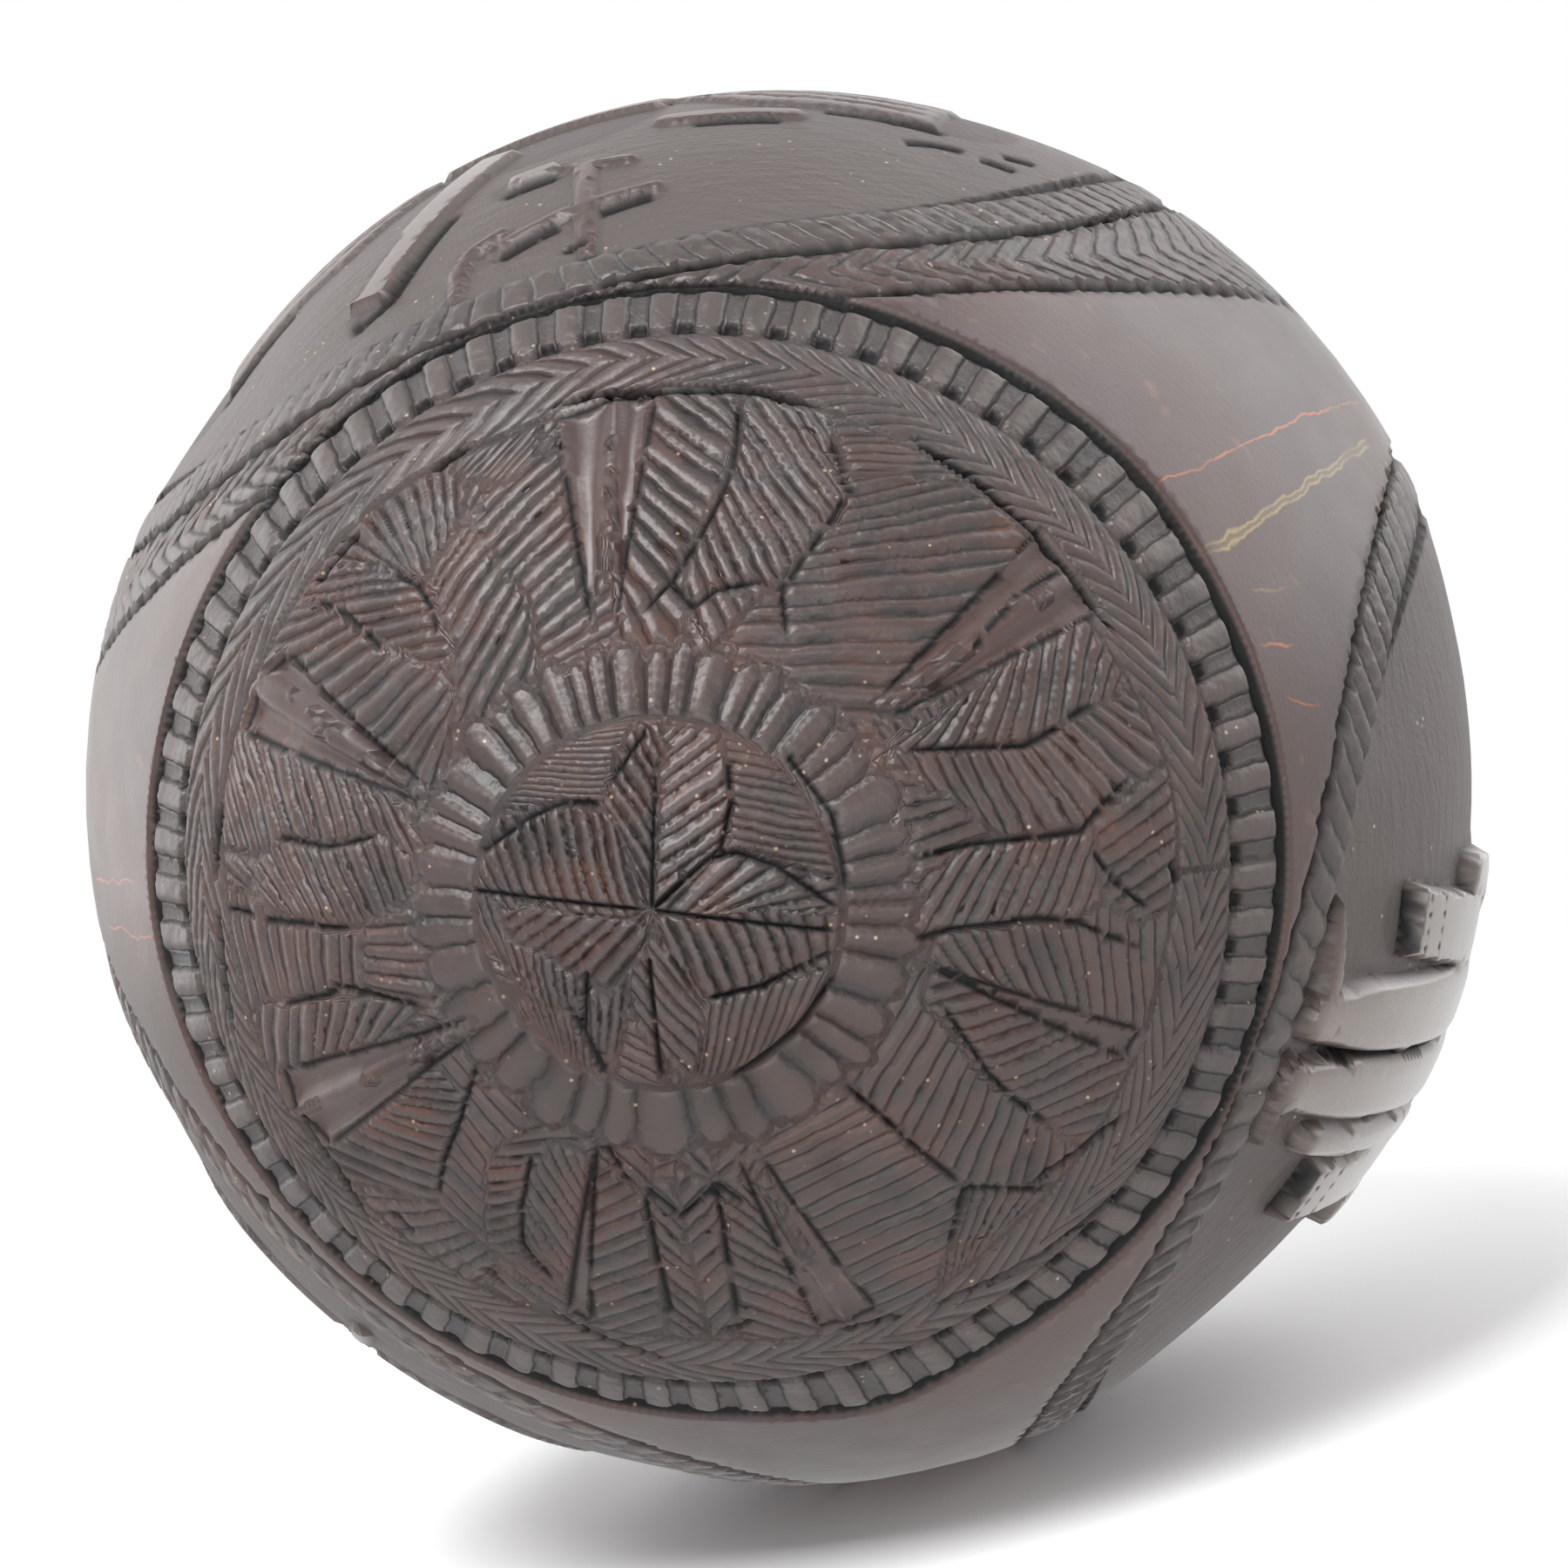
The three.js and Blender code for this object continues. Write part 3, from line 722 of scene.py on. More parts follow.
@dataclass
class Medallion:
    """Leaf medallion on the pointed end, drawn on a flat map about the pole."""

    tilt: float = TILT
    disc: float = 12.4
    lobes: float = 17.7
    field_edge: float = 37.0
    wreath_edge: float = 42.4
    groove: float = 47.3
    bead_count: int = 72
    lobe_count: int = 42
    blade_count: int = 94
    lobe_sway: float = 0.22
    reel: float = 0.36
    carving: Carving = field(default_factory=Carving)

    def __post_init__(self) -> None:
        """Draws every part of the medallion."""
        self.draw_rays()
        self.draw_leaves()
        self.draw_disc()
        self.carving.ring(self.groove_loop(), 0.9, 0.7)

    def chart(self, arc: Array, azimuth: Array) -> Array:
        """Map points of places on the nut."""
        turn = azimuth + self.tilt
        return np.stack([arc * np.cos(turn), arc * np.sin(turn)], axis=-1)

    def unchart(self, at: Array) -> Pair:
        """Places on the nut of map points."""
        return np.hypot(*at.T), np.arctan2(at[:, 1], at[:, 0]) - self.tilt

    def draw_rays(self) -> None:
        """Smooth flutes in pairs between the leaves."""
        pairs = ((0, 1), (2, 3), (4, 5), (6, 7), (9, 10))
        for left, right in pairs:
            apex = np.add(RAYS[left][0], RAYS[right][0]) / 2
            self.carving.scoops.append(Scoop(apex, RAYS[left][2], RAYS[right][1], 0.08))
        inner = {(left, 2) for left, _ in pairs} | {(right, 1) for _, right in pairs}
        for index, (apex, first, second) in enumerate(RAYS):
            self.carving.scoops.append(Scoop(apex, first, second))
            for side, corner in ((1, first), (2, second)):
                if (index, side) not in inner:
                    self.carving.cut((apex, corner), 0.42, 0.28, start=0.12, end=0.05)
            self.carving.cut((first, second), 0.4, 0.3, start=0.05, end=0.05)

    def draw_leaves(self) -> None:
        """Leaves of the field, the lines that part them, and the deep gouges round them, painted black
        with dirt and shade.
        """
        for row in LEAF_ROWS:
            self.carving.fan(*row)
        for rib in RIBS:
            self.carving.cut(rib, 0.46, 0.34, start=0.08, end=0.12)
        for pocket in POCKETS:
            self.carving.cut(pocket, 0.95, 0.5, start=0.15, end=0.2)

    def draw_disc(self) -> None:
        """Leaves and hatched patches of the round centre."""
        for line in DISC_LINES:
            self.carving.cut(line, 0.5, 0.4, start=0.02, end=0.1)
        for row in DISC_ROWS:
            self.carving.fan(*row)

    def lobe_number(self, turn: Array) -> Array:
        """Counts the lobes round the disc, which are wider towards the bottom.

        Args:
            turn: Angles on the map.

        Returns:
            Number of the lobe with its fraction.
        """
        even = turn.copy()
        for _ in range(4):
            even = turn - self.lobe_sway * np.sin(even - 1.5 * math.pi)
        return even * self.lobe_count / FULL_TURN

    def blade_number(self, s: Array, turn: Array) -> Array:
        """Counts the wreath's blades; two rows lean away from a middle line and point one way.

        Args:
            s: Distances from the pole.
            turn: Angles on the map.

        Returns:
            Number of the blade with its fraction.
        """
        middle = (self.field_edge + self.wreath_edge) / 2
        middle = middle + 0.35 * np.sin(5 * turn) + 0.2 * np.sin(11 * turn + 1)
        lean = np.interp(np.abs(s - middle), (0.1, 1.5, 3.2), (0, 0.6, 1.2))
        foot = turn.copy()
        for _ in range(3):
            degrees = np.degrees(foot) % 360
            stretch = hump(degrees, 165, 34) + 0.9 * hump(degrees, 322, 20)
            foot = turn - lean * (5.2 + 4 * stretch) / 39.7
        slow = 0.14 * np.sin(foot - math.radians(165)) + 0.1 * np.sin(2 * foot - math.radians(644))
        count = (foot - slow) * self.blade_count / FULL_TURN
        count = count + np.where(s > middle, 0.35, 0) + 0.16 * np.sin(1.3 * count) * np.sin(7 * turn)
        return count + 0.12 * np.sin(2.1 * s + 5 * turn)

    def bead_number(self, turn: Array) -> Array:
        """Counts the cuts between beads and narrow reels, two for each bead.

        Args:
            turn: Angles on the map.

        Returns:
            Number of the cut with its fraction.
        """
        count = turn * self.bead_count / FULL_TURN
        way = count % 1
        inside = np.where(way < self.reel, way / self.reel, 1 + (way - self.reel) / (1 - self.reel))
        return 2 * np.floor(count) + inside

    def groove_loop(self) -> Array:
        """Closed line of the outer groove on the map."""
        turn = np.linspace(0, FULL_TURN, 241)
        return self.wave(turn)[:, None] * np.stack([np.cos(turn), np.sin(turn)], axis=-1)

    def wave(self, turn: Array) -> Array:
        """Course of the outer groove, which wanders a little.

        Args:
            turn: Angles on the map.

        Returns:
            Distance of the groove from the pole.
        """
        degrees = np.degrees(turn) % 360
        bulge = 1.9 * hump(degrees, 285, 9) + 0.9 * hump(degrees, 188, 16)
        return self.groove + 0.2 * np.sin(3 * turn + 1) + bulge + 0.5 * hump(degrees, 42, 12)

    def carve(self, arc: Array, azimuth: Array, marks: Marks) -> None:
        """Adds the medallion to the marks of the skin.

        Args:
            arc: Distances from the pointed end.
            azimuth: Angles about the axis.
            marks: Marks to change.
        """
        inside = np.flatnonzero(arc < self.groove + 4)
        s, turn = arc[inside], (azimuth[inside] + self.tilt) % FULL_TURN
        at = self.chart(s, azimuth[inside])
        edge = self.wave(turn)
        held = s < edge
        depth, dirt = (np.where(held, part, 0) for part in self.carving.depths(at))
        flute, fluted = self.carving.flutes(at)
        number, border, force = self.carving.rows(at)
        lobe = self.lobe_number(turn)
        lobe = lobe + 0.16 * np.sin(1.9 * lobe) + 0.12 * np.sin(0.8 * lobe + 2)
        lobe_edge = self.lobes - 1.1 * (2 * (lobe % 1) - 1) ** 2 + 0.35 * np.sin(2.3 * np.floor(lobe))
        field_edge = self.field_edge + 0.45 * np.sin(5 * turn + 1) + 0.3 * np.sin(9 * turn)
        seam = np.minimum(turn, FULL_TURN - turn) * s
        pads = np.full(len(s), 0.15)
        # Inner and outer edge, number, depth and flatness of the cuts in each ring
        for low, high, counted, depths, flat in (
            (self.disc, lobe_edge, lobe, 0.3, 0.5),
            (field_edge, self.wreath_edge, self.blade_number(s, turn), 0.15, 0.4),
            (self.wreath_edge, edge, self.bead_number(turn), 0.15, 1.0),
        ):
            ring = (s > low) & (s < high)
            number, force = np.where(ring, counted, number), np.where(ring, depths, force)
            pads = np.where(ring, flat, pads)
            border = np.where(ring, np.minimum(np.minimum(s - low, high - s), seam), border)
            border = np.minimum(border, np.minimum(np.abs(s - low), np.abs(s - high)))
        carved = held & ~fluted
        depth = np.maximum(depth, carved * force * bite(number))
        # Rows part along a shallow line that carries dirt and painted shade
        parting = carved * (1 - smooth(border, 0, 0.4))
        depth = np.maximum(depth, 0.3 * parting)
        dirt = np.maximum(dirt, 0.4 * parting)
        # Lobes and beads are domed across, and the inner ends of the beads are rounded
        ring_band = (s > self.disc) & (s < lobe_edge)
        depth = np.maximum(depth, ring_band * 0.3 * (2 * (lobe % 1) - 1) ** 2)
        phase = (turn * self.bead_count / FULL_TURN) % 1
        dome = 1 - (2 * (phase - self.reel) / (1 - self.reel) - 1) ** 4
        bead = np.where(phase > self.reel, dome, -0.3)
        band = smooth(s, self.wreath_edge - 0.1, self.wreath_edge + 0.3) * held
        start = self.wreath_edge + 1.2 * (1 - np.sqrt(np.clip(bead, 0, 1)))
        # The pockets at the inner ends of the beads are painted nearly black with dirt and shade
        pocket = band * np.clip((start + 0.35 - s) / 0.5, 0, 1)
        depth = np.maximum(depth, band * (0.34 - 0.4 * bead))
        depth = np.maximum(depth, 0.8 * pocket)
        dirt = np.maximum(dirt, 0.95 * pocket)
        # The outer groove is painted dark with dirt and shade
        groove = np.clip(1 - np.abs(s - edge) / (0.75 - 0.25 * hump(turn, math.pi, 1)), 0, 1)
        depth = np.maximum(depth, groove)
        dirt = np.maximum(dirt, smooth(groove, 0.05, 0.5))
        uneven = 0.05 * np.sin(0.9 * at[:, 0] + 0.4 * at[:, 1]) * np.sin(0.8 * at[:, 1])
        marks.lift[inside] -= np.maximum(depth, flute) + held * (uneven + 0.05)
        marks.deepen(inside, cut=np.clip(depth / FULL_CUT, 0, 1), dirt=dirt, ground=0.3 * carved)
        marks.row[inside] = number
        marks.rows[inside] = carved * (force > 0) * smooth(border, 0.05, 0.45) * (1 - pocket)
        marks.pads[inside] = pads


class Border(Enum):
    """Ways in which a side panel is framed."""

    ROPE = "rope"
    ROPE_AND_FEATHERS = "rope and feathers"
    CHIPS = "chips"


@dataclass
class Panel:
    """Sunk side panel with a carved frame and a raised picture."""

    azimuth: float
    half_width: float
    half_height: float
    rim_width: float
    rim_height: float
    border: Border
    form: NutForm
    middle: float = 86.0
    sunk: float = 1.1
    proud: float = 0.2
    bulge: float = 1.95
    pitch: float = 2.3
    slant: float = 22.0
    sweep: float = 1.8
    inner_arc: float = 47.6
    coarse: float = 1.0
    # Strength of the rubbed wear and painted highlight on raised tops
    wear_and_highlight: float = 0.35
    bars: float = 0.24
    feather: tuple[float, float, float] = (11.0, 6.5, 1.6)
    carving: Carving = field(default_factory=Carving)
    edging: Carving = field(default_factory=Carving)

    def __post_init__(self) -> None:
        """Draws the frame."""
        self.edging.ring(self.loop(self.half_width, self.half_height), 0.35, 0.3)
        self.edging.ring(self.loop(self.rim_width, self.rim_height), 0.65, 0.42)
        if self.border is Border.ROPE_AND_FEATHERS:
            self.edging.ring(self.loop(*self.feather_size), 0.6, 0.4)

    @property
    def feather_size(self) -> tuple[float, float, float]:
        """Half sizes and power of the outer edge of the feather band."""
        wide, tall, power = self.feather
        return self.rim_width + wide, self.rim_height + tall, power

    def gaps(self, at: Array) -> tuple[Array, Array, Array]:
        """Places of points beside the frame.

        Args:
            at: Points of the panel.

        Returns:
            Distance outside the sunk ground, distance outside the frame, and share of the way
            across the frame.
        """
        ground_gap = self.offset(at, self.half_width, self.half_height)
        rim_gap = self.offset(at, self.rim_width, self.rim_height)
        across = np.clip(ground_gap / np.maximum(ground_gap - rim_gap, 0.1), 0, 1)
        return ground_gap, rim_gap, across

    def grain(self, at: Array) -> Array:
        """Coarseness of the mesh, which grows towards the stem end."""
        return self.coarse * (1 + smooth(at[:, 1], -7, 5))

    @cached_property
    def travelled(self) -> Array:
        """Distance along the outer edge of the frame at each of its points."""
        return milestones(self.loop(self.rim_width, self.rim_height))

    @property
    def bar_count(self) -> int:
        """Number of bars in the frame."""
        return round(self.travelled[-1] / self.pitch)

    def frame_rows(self, at: Array) -> Pair:
        """Counts the bars of the frame, and the barbs of the feather band outside it.

        Args:
            at: Points of the panel.

        Returns:
            Number of the bar or barb with its fraction, and distance inside the band, negative outside.
        """
        half = self.bulge / 2
        x, y = at[:, 0] / self.rim_width, at[:, 1] / self.rim_height
        turn = np.arctan2(np.sign(y) * np.abs(y) ** half, np.sign(x) * np.abs(x) ** half) % FULL_TURN
        share = np.interp(turn, np.linspace(0, FULL_TURN, len(self.travelled)), self.travelled)
        seam = np.minimum(share, self.travelled[-1] - share)
        share = share / self.travelled[-1]
        ground_gap, rim_gap, across = self.gaps(at)
        number = share * self.bar_count - np.clip(at[:, 0] / self.slant, -1, 1) * across
        room = np.minimum(ground_gap, -rim_gap)
        if self.border is Border.CHIPS:
            number = share * self.bar_count + 0.5 * (across > 0.5)
            room = np.minimum(room, np.abs(ground_gap + rim_gap) / 2)
        if self.border is Border.ROPE_AND_FEATHERS:
            edge_gap = self.offset(at, *self.feather_size)
            lean = np.abs(2 * rim_gap / np.maximum(rim_gap - edge_gap, 0.1) - 1)
            barbs = share * round(0.85 * self.bar_count) + self.sweep * lean
            number = np.where(rim_gap > 0, barbs, number)
            room = np.maximum(room, np.minimum(rim_gap, -edge_gap))
        return number, np.minimum(room, seam)

    def loop(self, width: float, height: float, power: Optional[float] = None) -> Array:
        """Closed oval of the panel.

        Args:
            width: Half width.
            height: Half height.
            power: Power of the oval, or the panel's own.

        Returns:
            Points of the oval.
        """
        lift = 2 / (power or self.bulge)
        turn = np.linspace(0, FULL_TURN, 481)
        c, s = np.cos(turn), np.sin(turn)
        return np.stack(
            [width * np.sign(c) * np.abs(c) ** lift, height * np.sign(s) * np.abs(s) ** lift], axis=-1
        )

    def offset(self, at: Array, width: float, height: float, power: Optional[float] = None) -> Array:
        """Measures an oval of the panel.

        Args:
            at: Points of the panel.
            width: Half width.
            height: Half height.
            power: Power of the oval, or the panel's own.

        Returns:
            Distance outside the oval, negative inside it.
        """
        p = power or self.bulge
        share = (np.abs(at[:, 0] / width) ** p + np.abs(at[:, 1] / height) ** p) ** (1 / p)
        return (share - 1) * np.hypot(*at.T) / np.maximum(share, 1e-3)

    def chart(self, arc: Array, azimuth: Array) -> Array:
        """Panel points, across and along, of places on the nut."""
        turn = (azimuth - math.radians(self.azimuth) + math.pi) % FULL_TURN - math.pi
        return np.stack([turn * self.form.ring(arc)[0], arc - self.middle], axis=-1)

    def unchart(self, at: Array) -> Pair:
        """Places on the nut of panel points."""
        arc = at[:, 1] + self.middle
        return arc, math.radians(self.azimuth) + at[:, 0] / self.form.ring(arc)[0]

    def carve(self, arc: Array, azimuth: Array, marks: Marks) -> None:
        """Adds the panel to the marks of the skin.

        Args:
            arc: Distances from the pointed end.
            azimuth: Angles about the axis.
            marks: Marks to change.
        """
        chart = self.chart(arc, azimuth)
        held = (np.abs(chart[:, 0]) < self.rim_width + 13) & (np.abs(chart[:, 1]) < self.rim_height + 9)
        inside = np.flatnonzero(held & (arc > self.inner_arc))
        at = chart[inside]
        ground_gap, rim_gap, across = self.gaps(at)
        gentle = 0.35 + 2.4 * np.abs(at[:, 0] / self.half_width) ** 5
        sunk = smooth(-ground_gap / gentle, -0.7, 1)
        low = sunk > 0.5
        rise, wall = (part * low for part in self.carving.relief(at))
        depth, dirt = self.carving.depths(at)
        number, room = self.frame_rows(at)
        barred = smooth(room, 0, 0.3)
        bars = self.bars / self.grain(at) ** 2
        edge_depth, edge_dirt = self.edging.depths(at)
        framed = (ground_gap > 0) & (rim_gap < 0)
        dome = np.where(framed, 0.8 * self.bars * (2 * across - 1) ** 2, 0)
        frame_depth = np.maximum(np.maximum(bars * barred * bite(number), dome), edge_depth)
        ends = smooth(np.abs(at[:, 0]) / self.half_width, 0.6, 1)
        hollow = self.sunk * sunk * (0.55 + 0.45 * smooth(ground_gap, -14, -1)) * (1 - 0.8 * ends)
        limit = np.maximum(hollow + self.proud, 0.02)
        rise = rise / (1 + (rise / limit) ** 4) ** 0.25
        marks.lift[inside] += rise - hollow - np.where(low, depth, frame_depth)
        # Painted shade at the foot of the sunk ground's wall and at the feet of raised forms, added to
        # the dirt of the cuts
        foot = hump(ground_gap, -0.35, 0.4) + 0.4 * wall * (1 - smooth(rise / limit, 0.2, 0.6))
        soot_and_shade = np.where(low, np.maximum(dirt, 0.8 * np.clip(foot, 0, 1)), edge_dirt)
        knife = np.clip(np.where(low, depth, frame_depth) / FULL_CUT, 0, 1)
        shown = barred * smooth(room, 0.1, 0.5) * (sunk < 0.5)
        flat = 0.1 if self.border is Border.CHIPS else np.where(rim_gap > 0, 0.4, 1)
        marks.deepen(inside, cut=knife, dirt=soot_and_shade, ground=sunk * (rise < 0.3), rows=shown)
        marks.show(inside, shown > 0, row=number, pads=flat)
        # Raised tops are paled by rubbed wear together with a painted highlight
        marks.worn[inside] = self.wear_and_highlight * smooth(rise / (limit + 0.1), 0.45, 0.85)


@dataclass
class StemRing:
    """Ring of leaves and beads round the neck on the stem end."""

    form: NutForm
    beads_at: float = 35.0
    groove: float = 38.2
    leaf_foot: float = 21.5
    leaf_tip: float = 31.5
    leaf_count: int = 14
    bead_count: int = 54
    carving: Carving = field(default_factory=Carving)

    def __post_init__(self) -> None:
        """Draws the leaves and beads."""
        foot, tip, polar = self.leaf_foot, self.leaf_tip, self.polar
        half = 180 / self.leaf_count
        for index in range(self.leaf_count):
            turn = 360 * index / self.leaf_count
            rib = (polar(foot, turn), polar(tip, turn))
            self.carving.cut(rib, 0.4, 0.35)
            for side in (1, -1):
                edge = (polar(foot, turn + side * 0.5 * half), polar(foot + 5, turn + side * half),
                        polar(tip, turn + side * 0.2 * half))
                self.carving.cut(edge, 0.6, 0.45)
                barbs = (polar(foot + 4, turn + side * 0.8 * half), polar(tip, turn + side * 0.3 * half))
                self.carving.fan(rib, barbs, 6, 0.36, turn=side)
        for index in range(self.bead_count):
            turn = 360 * index / self.bead_count
            line = (polar(self.beads_at - 2, turn), polar(self.beads_at + 2, turn))
            self.carving.cut(line, 0.55, 0.6, start=0.05, end=0.05)

    @staticmethod
    def polar(reach: float, degrees: float) -> tuple[float, float]:
        """Map point at a distance and an angle from the stem end."""
        turn = math.radians(degrees)
        return reach * math.cos(turn), reach * math.sin(turn)

    def chart(self, arc: Array, azimuth: Array) -> Array:
        """Map points about the stem end of places on the nut."""
        reach = self.form.arcs[-1] - arc
        return np.stack([reach * np.cos(azimuth), reach * np.sin(azimuth)], axis=-1)

    def unchart(self, at: Array) -> Pair:
        """Places on the nut of map points."""
        return self.form.arcs[-1] - np.hypot(*at.T), np.arctan2(at[:, 1], at[:, 0])

    def carve(self, arc: Array, azimuth: Array, marks: Marks) -> None:
        """Adds the ring to the marks of the skin.

        Args:
            arc: Distances from the pointed end.
            azimuth: Angles about the axis.
            marks: Marks to change.
        """
        reach = self.form.arcs[-1] - arc
        inside = np.flatnonzero((reach < self.groove + 2) & (reach > self.leaf_foot - 2))
        at = self.chart(arc[inside], azimuth[inside])
        depth, dirt = self.carving.depths(at)
        number, border, force = self.carving.rows(at, 0.6)
        shown = (force > 0) * smooth(border, 0.05, 0.45)
        depth = np.maximum(depth, shown * force * bite(number))
        # The three ring grooves carry dirt and painted shade
        for line in (self.groove, self.leaf_foot - 0.7, self.beads_at - 2.6):
            rim = np.clip(1 - np.abs(reach[inside] - line) / 0.5, 0, 1)
            depth = np.maximum(depth, 0.6 * rim)
            dirt = np.maximum(dirt, 0.8 * rim)
        marks.lift[inside] -= depth
        marks.deepen(inside, cut=np.clip(depth / FULL_CUT, 0, 1), dirt=dirt, rows=shown)
        marks.show(inside, shown > 0, row=number)


Value = Union["Wire", float, Numbers]


@dataclass(frozen=True)
class Wire:
    """Output socket of a node, with arithmetic that adds Math nodes."""

    sheet: "NodeSheet"
    socket: bpy.types.NodeSocket

    def math(self, operation: str, *values: Value) -> "Wire":
        """Result of one Math node."""
        return self.sheet.add("ShaderNodeMath", {"operation": operation}, dict(enumerate(values)))

    def __add__(self, other: Value) -> "Wire":
        """Sum."""
        return self.math("ADD", self, other)

    def __radd__(self, other: Value) -> "Wire":
        """Sum with the wire on the right."""
        return self.math("ADD", other, self)

    def __sub__(self, other: Value) -> "Wire":
        """Difference."""
        return self.math("SUBTRACT", self, other)

    def __rsub__(self, other: Value) -> "Wire":
        """Difference with the wire on the right."""
        return self.math("SUBTRACT", other, self)

    def __mul__(self, other: Value) -> "Wire":
        """Product."""
        return self.math("MULTIPLY", self, other)

    def __rmul__(self, other: Value) -> "Wire":
        """Product with the wire on the right."""
        return self.math("MULTIPLY", other, self)

    def __abs__(self) -> "Wire":
        """Size without sign."""
        return self.math("ABSOLUTE", self)

    def __truediv__(self, other: Value) -> "Wire":
        """Quotient."""
        return self.math("DIVIDE", self, other)

    def least(self, other: Value) -> "Wire":
        """Smaller of two values."""
        return self.math("MINIMUM", self, other)

    def most(self, other: Value) -> "Wire":
        """Larger of two values."""
        return self.math("MAXIMUM", self, other)

    def step(self, low: float, high: float) -> "Wire":
        """Soft step that rises from 0 at low to 1 at high."""
        settings = {"interpolation_type": "SMOOTHSTEP"}
        return self.sheet.add("ShaderNodeMapRange", settings, {"Value": self, 1: low, 2: high})


class TreeEnd(Enum):
    """Output nodes that a node tree can end in."""

    MATERIAL = "ShaderNodeOutputMaterial"
    WORLD = "ShaderNodeOutputWorld"


class NodeSheet:
    """Node tree of one material, or of the world."""

    def __init__(self, name: str, end: TreeEnd = TreeEnd.MATERIAL) -> None:
        """Starts an empty material or world.

        Args:
            name: Its name.
            end: What the tree ends in.
        """
        kept = bpy.data.worlds if end is TreeEnd.WORLD else bpy.data.materials
        self.end = end
        self.owner = kept.new(name)
        self.owner.use_nodes = True
        self.tree = self.owner.node_tree
        self.tree.nodes.clear()

    def add(
        self,
        kind: str,
        settings: Optional[Mapping[str, Any]] = None,
        inputs: Optional[Mapping[Any, Value]] = None,
        output: Union[int, str] = 0,
    ) -> Wire:
        """Adds a node.

        Args:
            kind: Type of the node.
            settings: Its own settings, which are set first.
            inputs: Values or wires of its sockets, by name or number.
            output: Socket to return.

        Returns:
            The wire of that socket.
        """
        node = self.tree.nodes.new(kind)
        for key, value in (settings or {}).items():
            setattr(node, key, value)
        for key, value in (inputs or {}).items():
            if isinstance(value, Wire):
                self.tree.links.new(value.socket, node.inputs[key])
            else:
                node.inputs[key].default_value = value
        return Wire(self, node.outputs[output])

    def place(
        self, stretch: Numbers = (1, 1, 1), shift: Numbers = (0, 0, 0), turn: Numbers = (0, 0, 0)
    ) -> Wire:
        """Object coordinates, turned, then stretched and shifted.

        Args:
            stretch: Scale along each axis.
            shift: Shift along each axis.
            turn: Turn about each axis.

        Returns:
            The wire of the place.
        """
        spot = self.add("ShaderNodeTexCoord", output="Object")
        spot = self.add("ShaderNodeMapping", inputs={"Vector": spot, "Rotation": turn})
        inputs = {"Vector": spot, "Location": shift, "Scale": stretch}
        return self.add("ShaderNodeMapping", inputs=inputs)

    def noise(self, vector: Wire, scale: float, detail: float = 3.0) -> Wire:
        """Noise value at a place."""
        inputs = {"Vector": vector, "Scale": scale, "Detail": detail}
        return self.add("ShaderNodeTexNoise", inputs=inputs)

    def cells(self, vector: Wire, scale: float) -> Wire:
        """Distance to the nearest of scattered points."""
        return self.add("ShaderNodeTexVoronoi", inputs={"Vector": vector, "Scale": scale})

    def mark(self, name: str) -> Wire:
        """Value stored on the mesh."""
        return self.add("ShaderNodeAttribute", {"attribute_name": name}, output="Fac")

    def mix(self, first: Value, second: Value, share: Value) -> Wire:
        """Mix of two colours."""
        return self.add("ShaderNodeMix", {"data_type": "RGBA"}, {0: share, 6: first, 7: second}, 2)

    def bump(self, height: Wire, strength: float, distance: float) -> Wire:
        """Normal with a fine height added."""
        inputs = {"Height": height, "Strength": strength, "Distance": distance}
        return self.add("ShaderNodeBump", inputs=inputs)

    def shader(self, **inputs: Value) -> Wire:
        """Principled shader whose sockets are given by name."""
        named = {key.replace("_", " "): value for key, value in inputs.items()}
        return self.add("ShaderNodeBsdfPrincipled", inputs=named)

    def finish(self, **inputs: Value) -> Material:
        """Closes the material with a Principled shader."""
        return self.close(self.shader(**inputs))

    def close(self, surface: Wire) -> Any:
        """Ends the tree.

        Args:
            surface: Its surface shader.

        Returns:
            The material or world.
        """
        end = self.tree.nodes.new(self.end.value)
        self.tree.links.new(surface.socket, end.inputs["Surface"])
        return self.owner


@dataclass(frozen=True)
class Crack:
    """Hairline in the shell between two places: distance from the nose, and azimuth in degrees."""

    start: tuple[float, float]
    end: tuple[float, float]
    half_width: float = 0.12
    tint: Colour = rgb(146, 80, 40)
    open: bool = False


